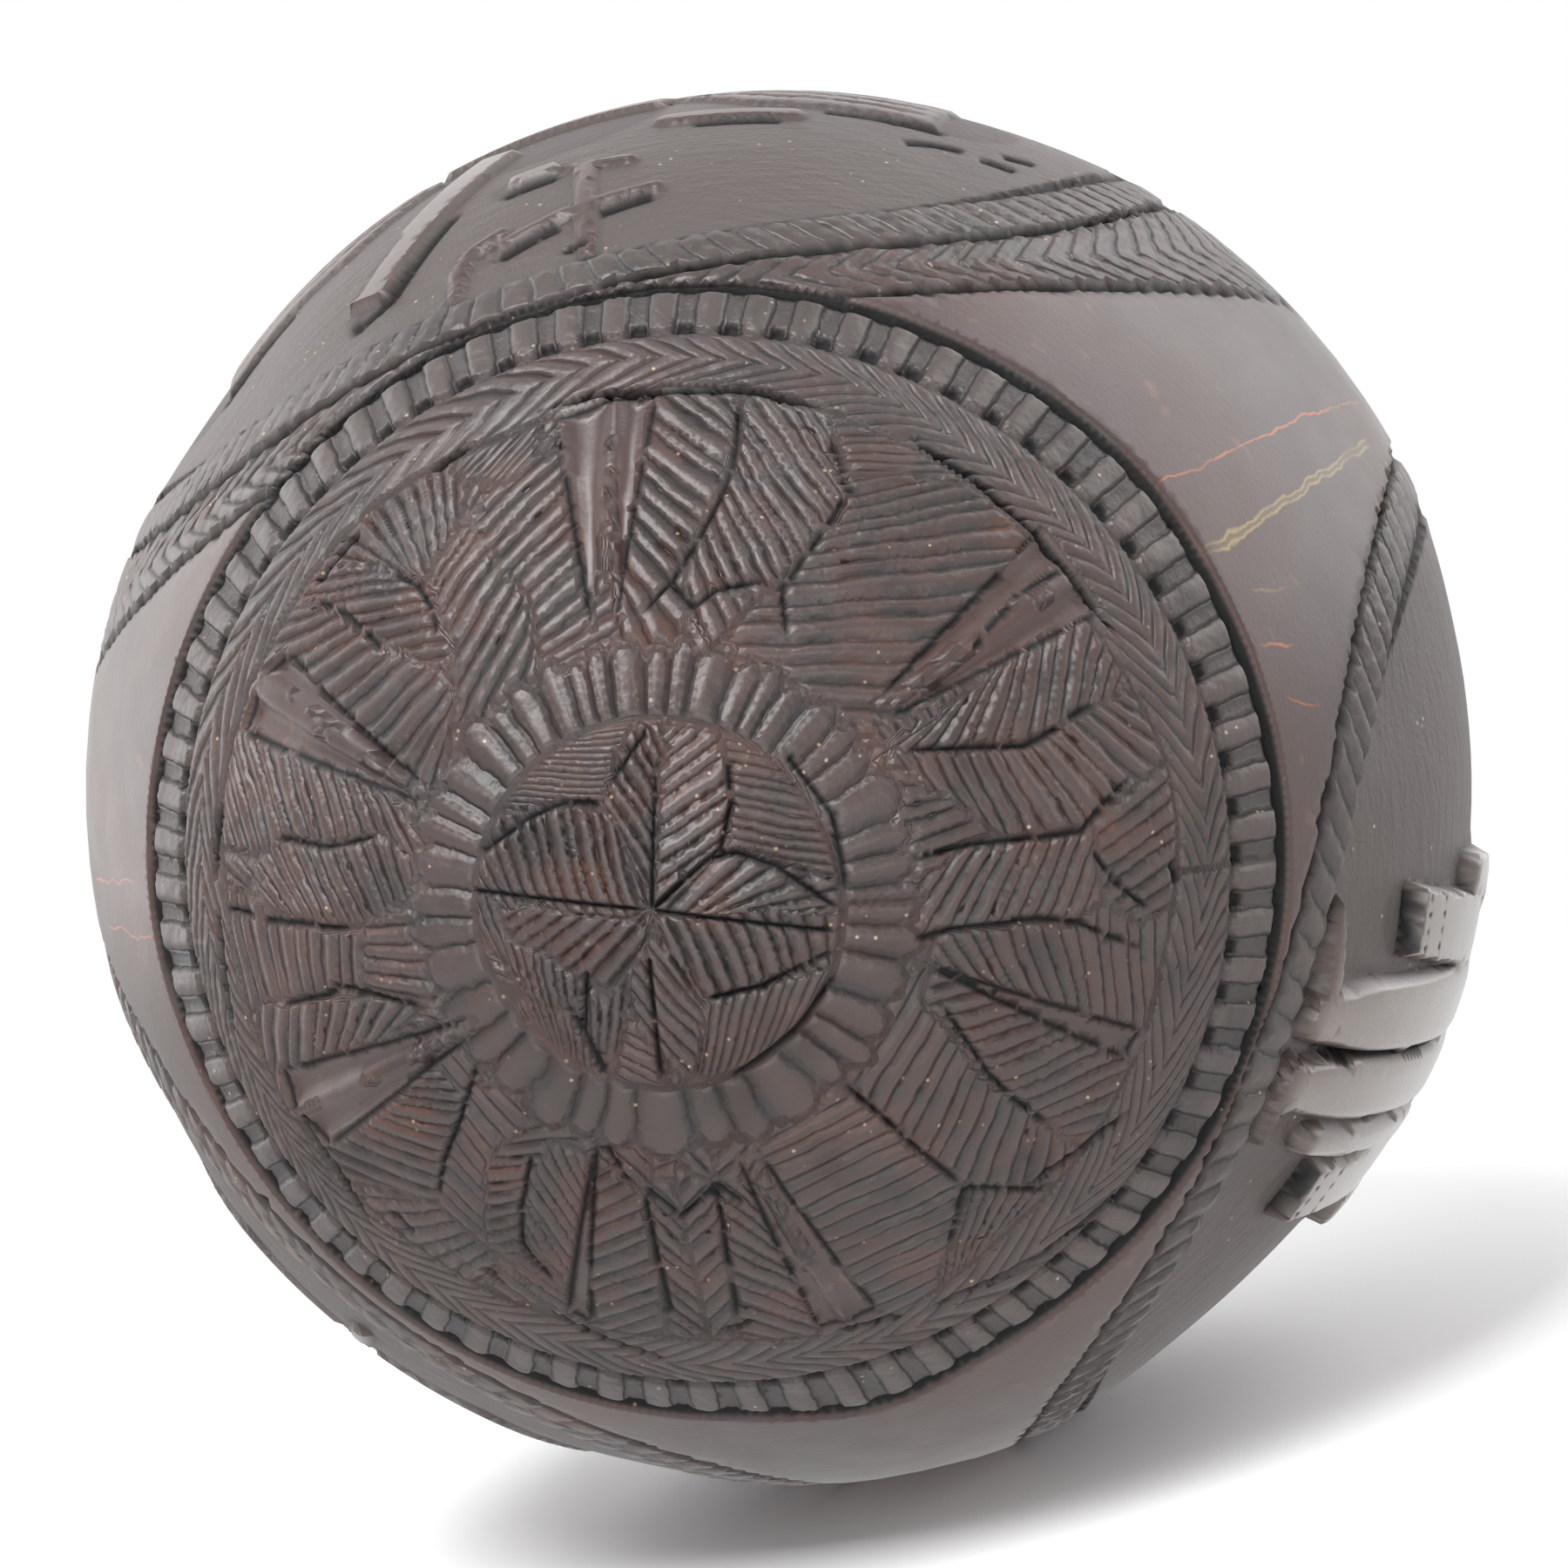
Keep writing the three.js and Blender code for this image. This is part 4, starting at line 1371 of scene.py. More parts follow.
@dataclass(frozen=True)
class ShellFinish:
    """Dark polished nut shell, brown in the cuts and black at their bottoms with dirt and painted shade.
    """

    form: NutForm
    polished: Colour = rgb(60, 47, 46)
    warm: Colour = rgb(65, 46, 41)
    freshly_cut: Colour = rgb(48, 44, 43)
    red: Colour = rgb(68, 43, 35)
    russet: Colour = rgb(94, 54, 38)
    matt: Colour = rgb(67, 61, 59)
    soot_and_shade: Colour = rgb(12, 10, 9)
    dust: Colour = rgb(170, 150, 122)
    rubbed: Colour = rgb(92, 64, 52)
    worn: Colour = rgb(106, 98, 92)
    cracks: tuple[Crack, ...] = (
        Crack((49.0, 39.0), (82.0, 33.5)),
        Crack((48.8, 31.0), (77.3, 30.5), 0.42, rgb(130, 112, 66), True),
        Crack((51.0, 25.5), (55.0, 24.0), 0.14, rgb(118, 92, 58)),
        Crack((49.5, 20.5), (53.0, 19.0), 0.14),
        Crack((50.5, 14.5), (54.0, 13.0), 0.12),
        Crack((52.0, 183.5), (65.4, 185.0), 0.1),
        Crack((49.2, 189.0), (62.2, 188.5), 0.1),
    )
    tilt: float = TILT

    def crack_line(self, sheet: NodeSheet, crack: Crack, sway: Wire) -> Wire:
        """Mask of one hairline.

        Args:
            sheet: Material in the making.
            crack: Ends and width of the line.
            sway: Wandering of the line in metres.

        Returns:
            1 on the line and 0 away from it.
        """
        ends = np.array([crack.start, crack.end])
        spots = self.form.place(ends[:, 0], np.radians(ends[:, 1]) - self.tilt, np.zeros(2)) * MM
        centre = Vector((0, 0, self.form.axis_height * MM))
        first, second = (Vector(spot) for spot in spots)
        normal = (first - centre).cross(second - centre).normalized()
        run = second - first
        spot = sheet.place()
        outward = ((first + second) / 2 - centre).normalized()

        def dot(direction: Vector, origin: Vector) -> Wire:
            """Distance of the shaded point from an origin along a direction."""
            product = sheet.add(
                "ShaderNodeVectorMath", {"operation": "DOT_PRODUCT"}, {0: spot, 1: direction}, "Value"
            )
            return product - direction.dot(origin)

        off = abs(dot(normal, centre) + sway)
        way = dot(run.normalized(), first)
        width = crack.half_width * MM
        line = 1 - off.step(0.5 * width, width)
        if crack.open:
            line = line * (0.25 + 0.75 * off.step(0.2 * width, 0.5 * width))
        span = way.step(-0.001, 0.001) * (1 - way.step(run.length - 0.002, run.length))
        return line * span * dot(outward, centre).step(0.01, 0.012)

    def material(self) -> Material:
        """Makes the material of the shell.

        Returns:
            The finished material.
        """
        sheet = NodeSheet("carved_nut_shell")
        place = sheet.place()
        cut, dirt, ground = (sheet.mark(name) for name in ("cut", "dirt", "ground"))
        broad = sheet.noise(place, 45, 4)
        mottle = sheet.noise(place, 260, 5)
        grain = sheet.noise(sheet.place((1, 5, 1)), 700, 4)
        first = sheet.noise(sheet.place((120, 1000, 120), turn=(0.22, 0, 0.2)), 1, 4)
        second = sheet.noise(sheet.place((240, 1500, 240), turn=(-0.2, 0, -0.16)), 1, 3)
        tool = first * second * 2
        rows, pads = sheet.mark("rows"), sheet.mark("pads")
        count = sheet.mark("row") + (sheet.noise(place, 600, 3) - 0.5) * 0.3
        way = count.math("FRACT", count)
        ridge = ((way / RIDGE).least((1 - way) / (1 - RIDGE)) * (1 + 2.4 * pads)).least(1)
        dash = sheet.noise(sheet.place(shift=(0.1, 0.7, 0.3)), 330, 2).step(0.36, 0.58)
        # Painted shade along the bottom of each bumped row, stronger in dashes
        valley = (1 - ridge.step(0.04, 0.3)) * rows * (0.6 + 0.4 * dash)
        plain = 1 - ground.most(cut).most(rows)
        skin = sheet.mix(self.polished, self.warm, broad.step(0.4, 0.65))
        skin = sheet.mix(skin, self.matt, (ground * 0.75).most(rows * pads * 0.6))
        faces = sheet.mix(self.freshly_cut, self.red, mottle.step(0.45, 0.62) * (1 - 0.8 * pads))
        glow = sheet.noise(sheet.place(shift=(0.5, 0.2, 0.1)), 140, 3).step(0.5, 0.64)
        faces = sheet.mix(faces, self.russet, glow * (0.75 - 1.8 * pads))
        colour = sheet.mix(skin, faces, cut.most(rows * (1 - ridge.step(0.55, 1.0))) * 0.85)
        # Raised tops are paled by rubbed wear together with a painted highlight
        worn = sheet.mark("worn")
        colour = sheet.mix(colour, self.worn, worn * 0.7)
        # Dirt and painted shade in the cuts, and the painted shade of the row valleys, are mixed towards
        # black
        grime_and_shade = (dirt * (0.7 + 0.3 * mottle)).step(0.12, 0.85)
        black = grime_and_shade.most(valley * (0.6 + 0.5 * mottle))
        colour = sheet.mix(colour, self.soot_and_shade, black)
        gloom = sheet.noise(sheet.place(shift=(0.2, 0.4, 0)), 150, 3).step(0.5, 0.7) * rows
        colour = sheet.mix(colour, self.soot_and_shade, gloom * 0.4)
        specks = (1 - sheet.cells(place, 900).step(0.06, 0.16)) * mottle.step(0.54, 0.62) * (1 - plain)
        colour = sheet.mix(colour, self.dust, specks * 0.8)
        sway = (sheet.noise(place, 300, 3) - 0.5) * 0.0016
        scuffs = sheet.noise(sheet.place((1, 1.6, 1), (0.3, 0.1, 0)), 460, 5).step(0.64, 0.72)
        colour = sheet.mix(colour, self.rubbed, scuffs * plain * (0.6 - 0.6 * worn))
        share = plain * (0.35 + mottle.step(0.35, 0.55) * 0.55)
        for crack in self.cracks:
            colour = sheet.mix(colour, crack.tint, self.crack_line(sheet, crack, sway) * share)
        stubble = sheet.noise(place, 2600, 4)
        worked = ground.most(cut)
        crown = 1 - (1 - ridge) * (1 - ridge)
        fine = grain * 0.06 + mottle * 0.4 * worked + stubble * (0.12 + 0.5 * worked)
        fine = fine + tool * ground * 0.9 + crown * rows * (1.9 + 0.5 * dash)
        rough = 0.42 + 0.06 * cut + 0.12 * ground + 0.12 * (mottle - 0.5) + 0.25 * dirt - 0.14 * worn
        bark = sheet.shader(
            Base_Color=colour,
            Roughness=rough,
            Specular_IOR_Level=0.65,
            Coat_Weight=worn * 0.8,
            Coat_Roughness=0.25,
            Normal=sheet.bump(fine, 0.5, 0.0003),
        )
        # A dark diffuse shader is mixed in where the dirt and painted shade are thick
        dull = sheet.add("ShaderNodeBsdfDiffuse", inputs={"Color": self.soot_and_shade})
        return sheet.close(sheet.add("ShaderNodeMixShader", inputs={0: grime_and_shade * 0.45, 1: bark, 2: dull}))


@dataclass(frozen=True)
class WoodFinish:
    """Waxed hardwood turned across a fine grain."""

    pale: Colour = rgb(112, 74, 46)
    dark: Colour = rgb(58, 34, 20)
    pore: Colour = rgb(24, 14, 9)

    def material(self) -> Material:
        """Makes the material of the turned pieces.

        Returns:
            The finished material.
        """
        sheet = NodeSheet("turned_hardwood")
        grain = sheet.noise(sheet.place((1, 0.08, 1)), 900, 5)
        broad = sheet.noise(sheet.place((1, 0.2, 1)), 120, 3)
        pores = sheet.noise(sheet.place((1, 0.06, 1)), 2600, 2)
        lathe = sheet.noise(sheet.place((0, 1, 0)), 2200, 2)
        colour = sheet.mix(self.dark, self.pale, (grain * 0.6 + broad * 0.4).step(0.35, 0.68))
        colour = sheet.mix(colour, self.pore, pores.step(0.6, 0.72) * 0.6)
        return sheet.finish(
            Base_Color=colour,
            Roughness=0.3 + 0.2 * grain,
            Normal=sheet.bump(lathe * 0.6 + pores * 0.4, 0.25, 0.0001),
        )


@dataclass(frozen=True)
class CorkFinish:
    """Pressed-in cork with dark pores."""

    pale: Colour = rgb(190, 150, 104)
    dark: Colour = rgb(120, 82, 50)
    pore: Colour = rgb(62, 40, 24)

    def material(self) -> Material:
        """Makes the material of the cork.

        Returns:
            The finished material.
        """
        sheet = NodeSheet("stopper_cork_bark")
        place = sheet.place()
        grains = sheet.cells(place, 900)
        blotch = sheet.noise(place, 500, 4)
        pores = (1 - sheet.cells(sheet.place((1, 0.4, 1)), 420).step(0.1, 0.26)) * blotch.step(0.45, 0.6)
        colour = sheet.mix(self.dark, self.pale, (blotch * 0.7 + grains * 0.4).step(0.3, 0.7))
        colour = sheet.mix(colour, self.pore, pores)
        return sheet.finish(
            Base_Color=colour,
            Roughness=0.78 + 0.12 * blotch,
            Normal=sheet.bump(grains * 0.5 + blotch - pores, 0.5, 0.0003),
        )


@dataclass(frozen=True)
class LeatherFinish:
    """Worn leather of the bedding ring and washer."""

    worn: Colour = rgb(126, 88, 58)
    dark: Colour = rgb(66, 42, 27)

    def material(self) -> Material:
        """Makes the material of the leather rings.

        Returns:
            The finished material.
        """
        sheet = NodeSheet("washer_leather")
        place = sheet.place()
        pebbles = sheet.cells(place, 1700)
        blotch = sheet.noise(place, 300, 4)
        colour = sheet.mix(self.dark, self.worn, (blotch * 0.8 + pebbles * 0.3).step(0.35, 0.75))
        return sheet.finish(
            Base_Color=colour,
            Roughness=0.55 + 0.2 * blotch,
            Normal=sheet.bump(pebbles + 0.5 * blotch, 0.4, 0.00015),
        )


@dataclass(frozen=True)
class BrassFinish:
    """Aged brass of the collar pins."""

    bright: Colour = rgb(196, 158, 88)
    dull: Colour = rgb(96, 74, 42)

    def material(self) -> Material:
        """Makes the material of the pins.

        Returns:
            The finished material.
        """
        sheet = NodeSheet("aged_brass")
        tarnish = sheet.noise(sheet.place(), 900, 5)
        scratches = sheet.noise(sheet.place((1, 6, 4)), 2400, 2)
        colour = sheet.mix(self.bright, self.dull, tarnish.step(0.42, 0.66))
        return sheet.finish(
            Base_Color=colour,
            Metallic=1.0,
            Roughness=0.26 + 0.3 * tarnish.step(0.4, 0.7),
            Normal=sheet.bump(scratches, 0.15, 0.00005),
        )


def settle(piece: Piece, body: Body, slot: Slot, material: Material, *nodes: str) -> None:
    """Gives a finished piece its material and what the frame needs.

    Args:
        piece: The piece.
        body: Body that it rides on.
        slot: Material slot of the record; not used.
        material: Its material.
        nodes: Nodes that it stands for.
    """
    piece.data.materials.append(material)
    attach(piece, body.value)
    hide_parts(*nodes)
    LOG.info("%s: %d faces", piece.name, len(piece.data.polygons))


def new_piece(name: str, bm: BMesh, sharp: float = math.radians(40)) -> Piece:
    """Object from a bmesh in millimetres.

    Args:
        name: Name of the piece.
        bm: Its mesh, which is freed.
        sharp: Angle above which an edge is shaded sharp.

    Returns:
        The object, at the origin, in metres.
    """
    bmesh.ops.recalc_face_normals(bm, faces=bm.faces)
    bmesh.ops.transform(bm, matrix=Matrix.Scale(MM, 4), verts=bm.verts)
    mesh = bpy.data.meshes.new(name)
    bm.to_mesh(mesh)
    bm.free()
    mesh.shade_smooth()
    mesh.set_sharp_from_angle(angle=sharp)
    piece = bpy.data.objects.new(name, mesh)
    bpy.context.scene.collection.objects.link(piece)
    return piece


def lathe(bm: BMesh, profile: Line, height: float, steps: int) -> None:
    """Spins a profile of radius and axial place about the flask's axis.

    Args:
        bm: Mesh that takes the turned surface.
        profile: Points from one end to the other.
        height: Height of the axis.
        steps: Number of sides.
    """
    old = len(bm.verts)
    spots = [bm.verts.new((r, y, height)) for r, y in profile]
    edges = [bm.edges.new(pair) for pair in zip(spots, spots[1:])]
    bmesh.ops.spin(
        bm, geom=spots + edges, cent=(0, 0, height), axis=(0, 1, 0), angle=FULL_TURN, steps=steps,
        use_merge=True,
    )
    bm.verts.ensure_lookup_table()
    bmesh.ops.remove_doubles(bm, verts=bm.verts[old:], dist=0.002)


def eased(profile: Line, radius: float, steps: int = 3) -> list[tuple[float, float]]:
    """Profile with its corners rounded.

    Args:
        profile: Corner points.
        radius: Length that is cut back from each corner.
        steps: Points on each rounded corner, less one.

    Returns:
        The softened profile.
    """
    points = [Vector(point) for point in profile]
    soft = [points[0]]
    for before, corner, after in zip(points, points[1:], points[2:]):
        reach = min(radius, 0.45 * (corner - before).length, 0.45 * (after - corner).length)
        start = corner + (before - corner).normalized() * reach
        end = corner + (after - corner).normalized() * reach
        for step in range(steps + 1):
            share = step / steps
            soft.append(start.lerp(corner, share).lerp(corner.lerp(end, share), share))
    soft.append(points[-1])
    return [(point.x, point.y) for point in soft]


def turned(profile: Line, ease: float, height: float, sides: int) -> BMesh:
    """Turns a profile with eased corners.

    Args:
        profile: Points of radius and axial place.
        ease: Length that is cut back from each corner.
        height: Height of the axis.
        sides: Number of sides.

    Returns:
        The turned mesh.
    """
    bm = bmesh.new()
    lathe(bm, eased(profile, ease), height, sides)
    return bm


@dataclass
class CarvedShell:
    """Drilled-out nut with its carving."""

    form: NutForm
    panels: Sequence[Panel]
    stem_ring: StemRing
    seat: float = SEAT
    mouth: float = 9.0
    side_wall: float = 4.4
    nose_wall: float = 4.4
    rear_wall: float = 6.0
    sides: int = 44
    ring_gap: float = 3.0
    passes: int = 8
    slack: float = 1.34
    blend: float = 0.55
    plain_edge: float = 3.0
    ground_edge: float = 2.2
    frame_edge: float = 0.66
    feather_edge: float = 0.76
    wall_edge: float = 0.56
    thin_edge: float = 0.25
    stem_edge: float = 0.95
    fine: float = 0.48
    medallion: Medallion = field(default_factory=Medallion)

    def seat_arc(self) -> float:
        """Distance from the nose of the flat seat of the neck."""
        turn = math.acos(-self.seat / self.form.rear)
        return float(np.interp(turn, self.form.turns, self.form.arcs))

    def spacing(self, arc: Array, azimuth: Array) -> Array:
        """Longest edge wanted at each place.

        Args:
            arc: Distances from the nose.
            azimuth: Angles about the axis.

        Returns:
            Lengths in millimetres.
        """
        wanted = np.full(len(arc), self.plain_edge)

        def tighten(size: Union[float, Array], gap: Array, held: Any = slice(None)) -> None:
            """Lowers the spacing to a size where the gap is negative, and gradually around it."""
            wanted[held] = np.minimum(wanted[held], size + self.blend * np.maximum(gap, 0))

        for panel in self.panels:
            at = panel.chart(arc, azimuth)
            ground_gap, rim_gap, _ = panel.gaps(at)
            far = panel.grain(at)
            tighten(self.ground_edge, ground_gap)
            tighten(self.frame_edge * far, np.maximum(-0.6 - ground_gap, rim_gap - 0.5))
            if panel.border is Border.ROPE_AND_FEATHERS:
                edge_gap = panel.offset(at, *panel.feather_size)
                tighten(self.feather_edge * far, np.maximum(-rim_gap, edge_gap - 0.5))
            for boss in panel.carving.bosses:
                near = Carving.near(boss.points, max(boss.widths) + 4, at)
                room = boss.room(at[near])
                wall = np.maximum(-0.3 - room, room - min(boss.edge, 0.8) - 0.2)
                tighten(self.wall_edge * far[near], wall, near)
                tighten(far[near], -room, near)
            for stroke in panel.carving.strokes:
                near = Carving.near(stroke.line, 4, at)
                signed, _, _ = measure(stroke.line, at[near])
                size = self.thin_edge if stroke.width < 0.3 else self.wall_edge
                tighten(size * far[near], np.abs(signed) - stroke.width, near)
        reach = self.form.arcs[-1] - arc
        ring = self.stem_ring
        tighten(self.stem_edge, np.maximum(reach - ring.groove - 0.6, ring.leaf_foot - 1 - reach))
        tighten(self.fine, arc - self.medallion.wave(azimuth + self.medallion.tilt) - 0.8)
        return wanted

    def refine(self, bm: BMesh) -> None:
        """Splits the edges of the skin until each is short enough for what is carved there.

        Args:
            bm: Mesh of the skin.
        """
        bmesh.ops.triangulate(bm, faces=bm.faces)
        for _ in range(self.passes):
            bm.verts.index_update()
            points = np.array([vert.co for vert in bm.verts])
            ends = np.array([(edge.verts[0].index, edge.verts[1].index) for edge in bm.edges])
            first, second = points[ends[:, 0]], points[ends[:, 1]]
            lengths = np.linalg.norm(second - first, axis=1)
            arc, azimuth = self.form.locate((first + second) / 2)
            long = lengths > self.slack * self.spacing(arc, azimuth)
            if not long.any():
                break
            edges = [edge for edge, split in zip(bm.edges, long) if split]
            bmesh.ops.subdivide_edges(bm, edges=edges, cuts=1)
            bmesh.ops.triangulate(bm, faces=[face for face in bm.faces if len(face.verts) > 3])
            folded = [vert for vert in bm.verts if len(vert.link_faces) == 2 and not vert.is_boundary]
            bmesh.ops.delete(bm, geom=folded, context="VERTS")
            points = np.array([vert.co for vert in bm.verts])
            arc, azimuth = self.form.locate(points)
            self.move(bm, self.form.place(arc, azimuth, np.zeros(len(arc))))

    @staticmethod
    def move(bm: BMesh, points: Array) -> None:
        """Puts the vertices at new places."""
        for vert, point in zip(bm.verts, points):
            vert.co = point

    def snap(self, arc: Array, azimuth: Array) -> Pair:
        """Moves places on the skin onto the cuts that they nearly touch.

        Args:
            arc: Distances from the nose.
            azimuth: Angles about the axis.

        Returns:
            The new distances and angles.
        """
        reach = self.form.arcs[-1] - arc
        charts = [
            (self.medallion, self.medallion.carving, self.fine, arc < self.medallion.groove + 4),
            (self.stem_ring, self.stem_ring.carving, self.stem_edge, reach < self.stem_ring.groove + 2),
        ]
        for panel in self.panels:
            at = panel.chart(arc, azimuth)
            far = panel.grain(at)
            near = (panel.gaps(at)[1] < 9) & (arc > panel.inner_arc + 0.8)
            for boss in panel.carving.bosses:
                held = Carving.near(boss.points, max(boss.widths) + 1, at)
                at[held] = boss.pulled(at[held], 0.25 * far[held])
            arc[near], azimuth[near] = panel.unchart(at[near])
            charts += [(panel, panel.edging, 0.8 * far, near), (panel, panel.carving, 0.5 * far, near)]
        for chart, carving, size, held in charts:
            inside = np.flatnonzero(held & (arc > 0.5))
            limit = 0.45 * np.broadcast_to(size, arc.shape)[inside]
            gap, feet = carving.reach(chart.chart(arc[inside], azimuth[inside]), limit.max())
            close = np.flatnonzero(gap < limit)
            close = close[np.argsort(gap[close], kind="stable")]
            close = close[np.unique(feet[close].round(1), axis=0, return_index=True)[1]]
            arc[inside[close]], azimuth[inside[close]] = chart.unchart(feet[close])
        return arc, azimuth

    def lean(self, arc: Array, azimuth: Array) -> Array:
        """Slight flats of the nut, which is not quite round."""
        turn = np.degrees(azimuth + self.medallion.tilt) % 360
        return -hump(arc, 84, 26) * (1.1 * hump(turn, 315, 17) + 0.7 * hump(turn, 145, 14))

    def lining(self, bm: BMesh) -> None:
        """Adds the seat, the mouth and the inside of the nut.

        Args:
            bm: Mesh of the skin.
        """
        form = self.form
        inner_rear = form.rear - self.rear_wall
        inner_side = form.radius - self.side_wall
        inner_front = form.front - self.nose_wall
        rim = float(form.ring(np.array([self.seat_arc()]))[0][0])
        profile = [(rim, self.seat), (self.mouth, self.seat)]
        mouth_turn = math.asin(self.mouth / inner_side)
        for share in np.linspace(mouth_turn, math.pi / 2, 14):
            profile.append((inner_side * math.sin(share), inner_rear * math.cos(share)))
        for share in np.linspace(0, 1, 14)[1:]:
            turn = math.pi / 2 * (1 - share)
            lift = 2 / form.power
            profile.append((inner_side * math.sin(turn) ** lift, -inner_front * math.cos(turn) ** lift))
        lathe(bm, profile, form.axis_height, self.sides)

    def build(self) -> Piece:
        """Makes the carved shell.

        Returns:
            The shell with its carving and the marks that its finish reads.
        """
        form = self.form
        skin = bmesh.new()
        arcs = np.linspace(0, self.seat_arc(), round(self.seat_arc() / self.ring_gap) + 1)
        lathe(skin, list(zip(*form.ring(arcs))), form.axis_height, self.sides)
        self.refine(skin)
        arc, azimuth = form.locate(np.array([vert.co for vert in skin.verts]))
        arc, azimuth = self.snap(arc, azimuth)
        marks = Marks.blank(len(arc))
        self.medallion.carve(arc, azimuth, marks)
        for panel in self.panels:
            panel.carve(arc, azimuth, marks)
        self.stem_ring.carve(arc, azimuth, marks)
        points = form.place(arc, azimuth, marks.lift + self.lean(arc, azimuth))
        points[:, 2] = np.maximum(points[:, 2], 0)
        self.move(skin, points)
        for name in ("cut", "dirt", "ground", "row", "rows", "pads", "worn"):
            layer = skin.verts.layers.float.new(name)
            for vert, value in zip(skin.verts, getattr(marks, name)):
                vert[layer] = value
        self.lining(skin)
        bmesh.ops.remove_doubles(skin, verts=[v for v in skin.verts if v.is_boundary], dist=0.02)
        shell = new_piece("carved_coconut_shell", skin, math.radians(75))
        settle(shell, Body.FLASK, Slot.SHELL, ShellFinish(form).material(), "coconut_shell")
        return shell


@dataclass
class Neck:
    """Turned collar, its bedding ring and the pins that hold it."""

    form: NutForm
    seat: float = SEAT
    gap: float = FIT_GAP
    bore: float = 6.2
    spigot: float = 8.7
    spigot_end: float = 52.0
    flange: float = 15.5
    top: float = NECK_TOP
    pin_circle: float = 12.6
    pin_angles: tuple[int, ...] = (45, 135, 225, 315)
    pin_sides: int = 24
    sides: int = 72

    def build(self) -> None:
        """Makes the collar, the ring and the pins."""
        height = self.form.axis_height
        bore, flange, top = self.bore, self.flange, self.top
        low = self.seat + 1.8
        high = low + 3
        collar = turned((
            (bore, self.spigot_end), (self.spigot, self.spigot_end), (self.spigot, low),
            (flange, low), (flange, high - 1.6), (flange - 0.7, high - 1.2), (flange - 0.9, high - 0.5),
            (flange - 1.6, high), (10.8, high), (10.5, high - 0.35),
            (10.1, high), (9.4, high + 0.9), (8.7, high + 2.4), (8.6, top - 4.2), (9.4, top - 3.6),
            (9.2, top - 3.3), (10.1, top - 2.7), (10.4, top - 1.6), (10, top - 0.5), (9.2, top),
            (bore + 0.5, top), (bore, top - 0.5), (bore, self.spigot_end),
        ), 0.3, height, self.sides)
        wood = WoodFinish().material()
        settle(new_piece("turned_neck_collar", collar), Body.FLASK, Slot.WOOD, wood, "neck_collar")
        ring_low, ring_high = self.seat + self.gap, self.seat + self.gap + 1.2
        ring = turned((
            (9.4, ring_low + 0.6), (9.4, ring_low), (15.2, ring_low), (15.35, ring_low + 0.6),
            (15.2, ring_high), (9.4, ring_high), (9.4, ring_low + 0.6),
        ), 0.25, height, self.sides)
        leather = LeatherFinish().material()
        settle(new_piece("leather_bedding_ring", ring), Body.FLASK, Slot.LEATHER, leather, "neck_seal")
        brass = BrassFinish().material()
        for number, angle in enumerate(self.pin_angles, 1):
            self.build_pin(number, math.radians(angle), high + self.gap, brass)

    def build_pin(self, number: int, angle: float, head: float, brass: Material) -> None:
        """Makes one domed pin.

        Args:
            number: Number of the pin.
            angle: Its place round the collar.
            head: Axial place of the underside of its head.
            brass: Its material.
        """
        tip, taper = self.seat - 2.6, self.seat - 1.4
        pin = turned((
            (0, tip), (0.25, tip), (0.8, taper), (0.8, head), (1.7, head), (1.62, head + 0.45),
            (1.1, head + 0.98), (0.5, head + 1.16), (0, head + 1.2),
        ), 0.14, 0, self.pin_sides)
        across, up = self.pin_circle * math.cos(angle), self.pin_circle * math.sin(angle)
        bmesh.ops.translate(pin, verts=pin.verts, vec=(across, 0, self.form.axis_height + up))
        piece = new_piece(f"brass_collar_pin_{number}", pin)
        settle(piece, Body.FLASK, Slot.BRASS, brass, f"collar_pin_{number}")


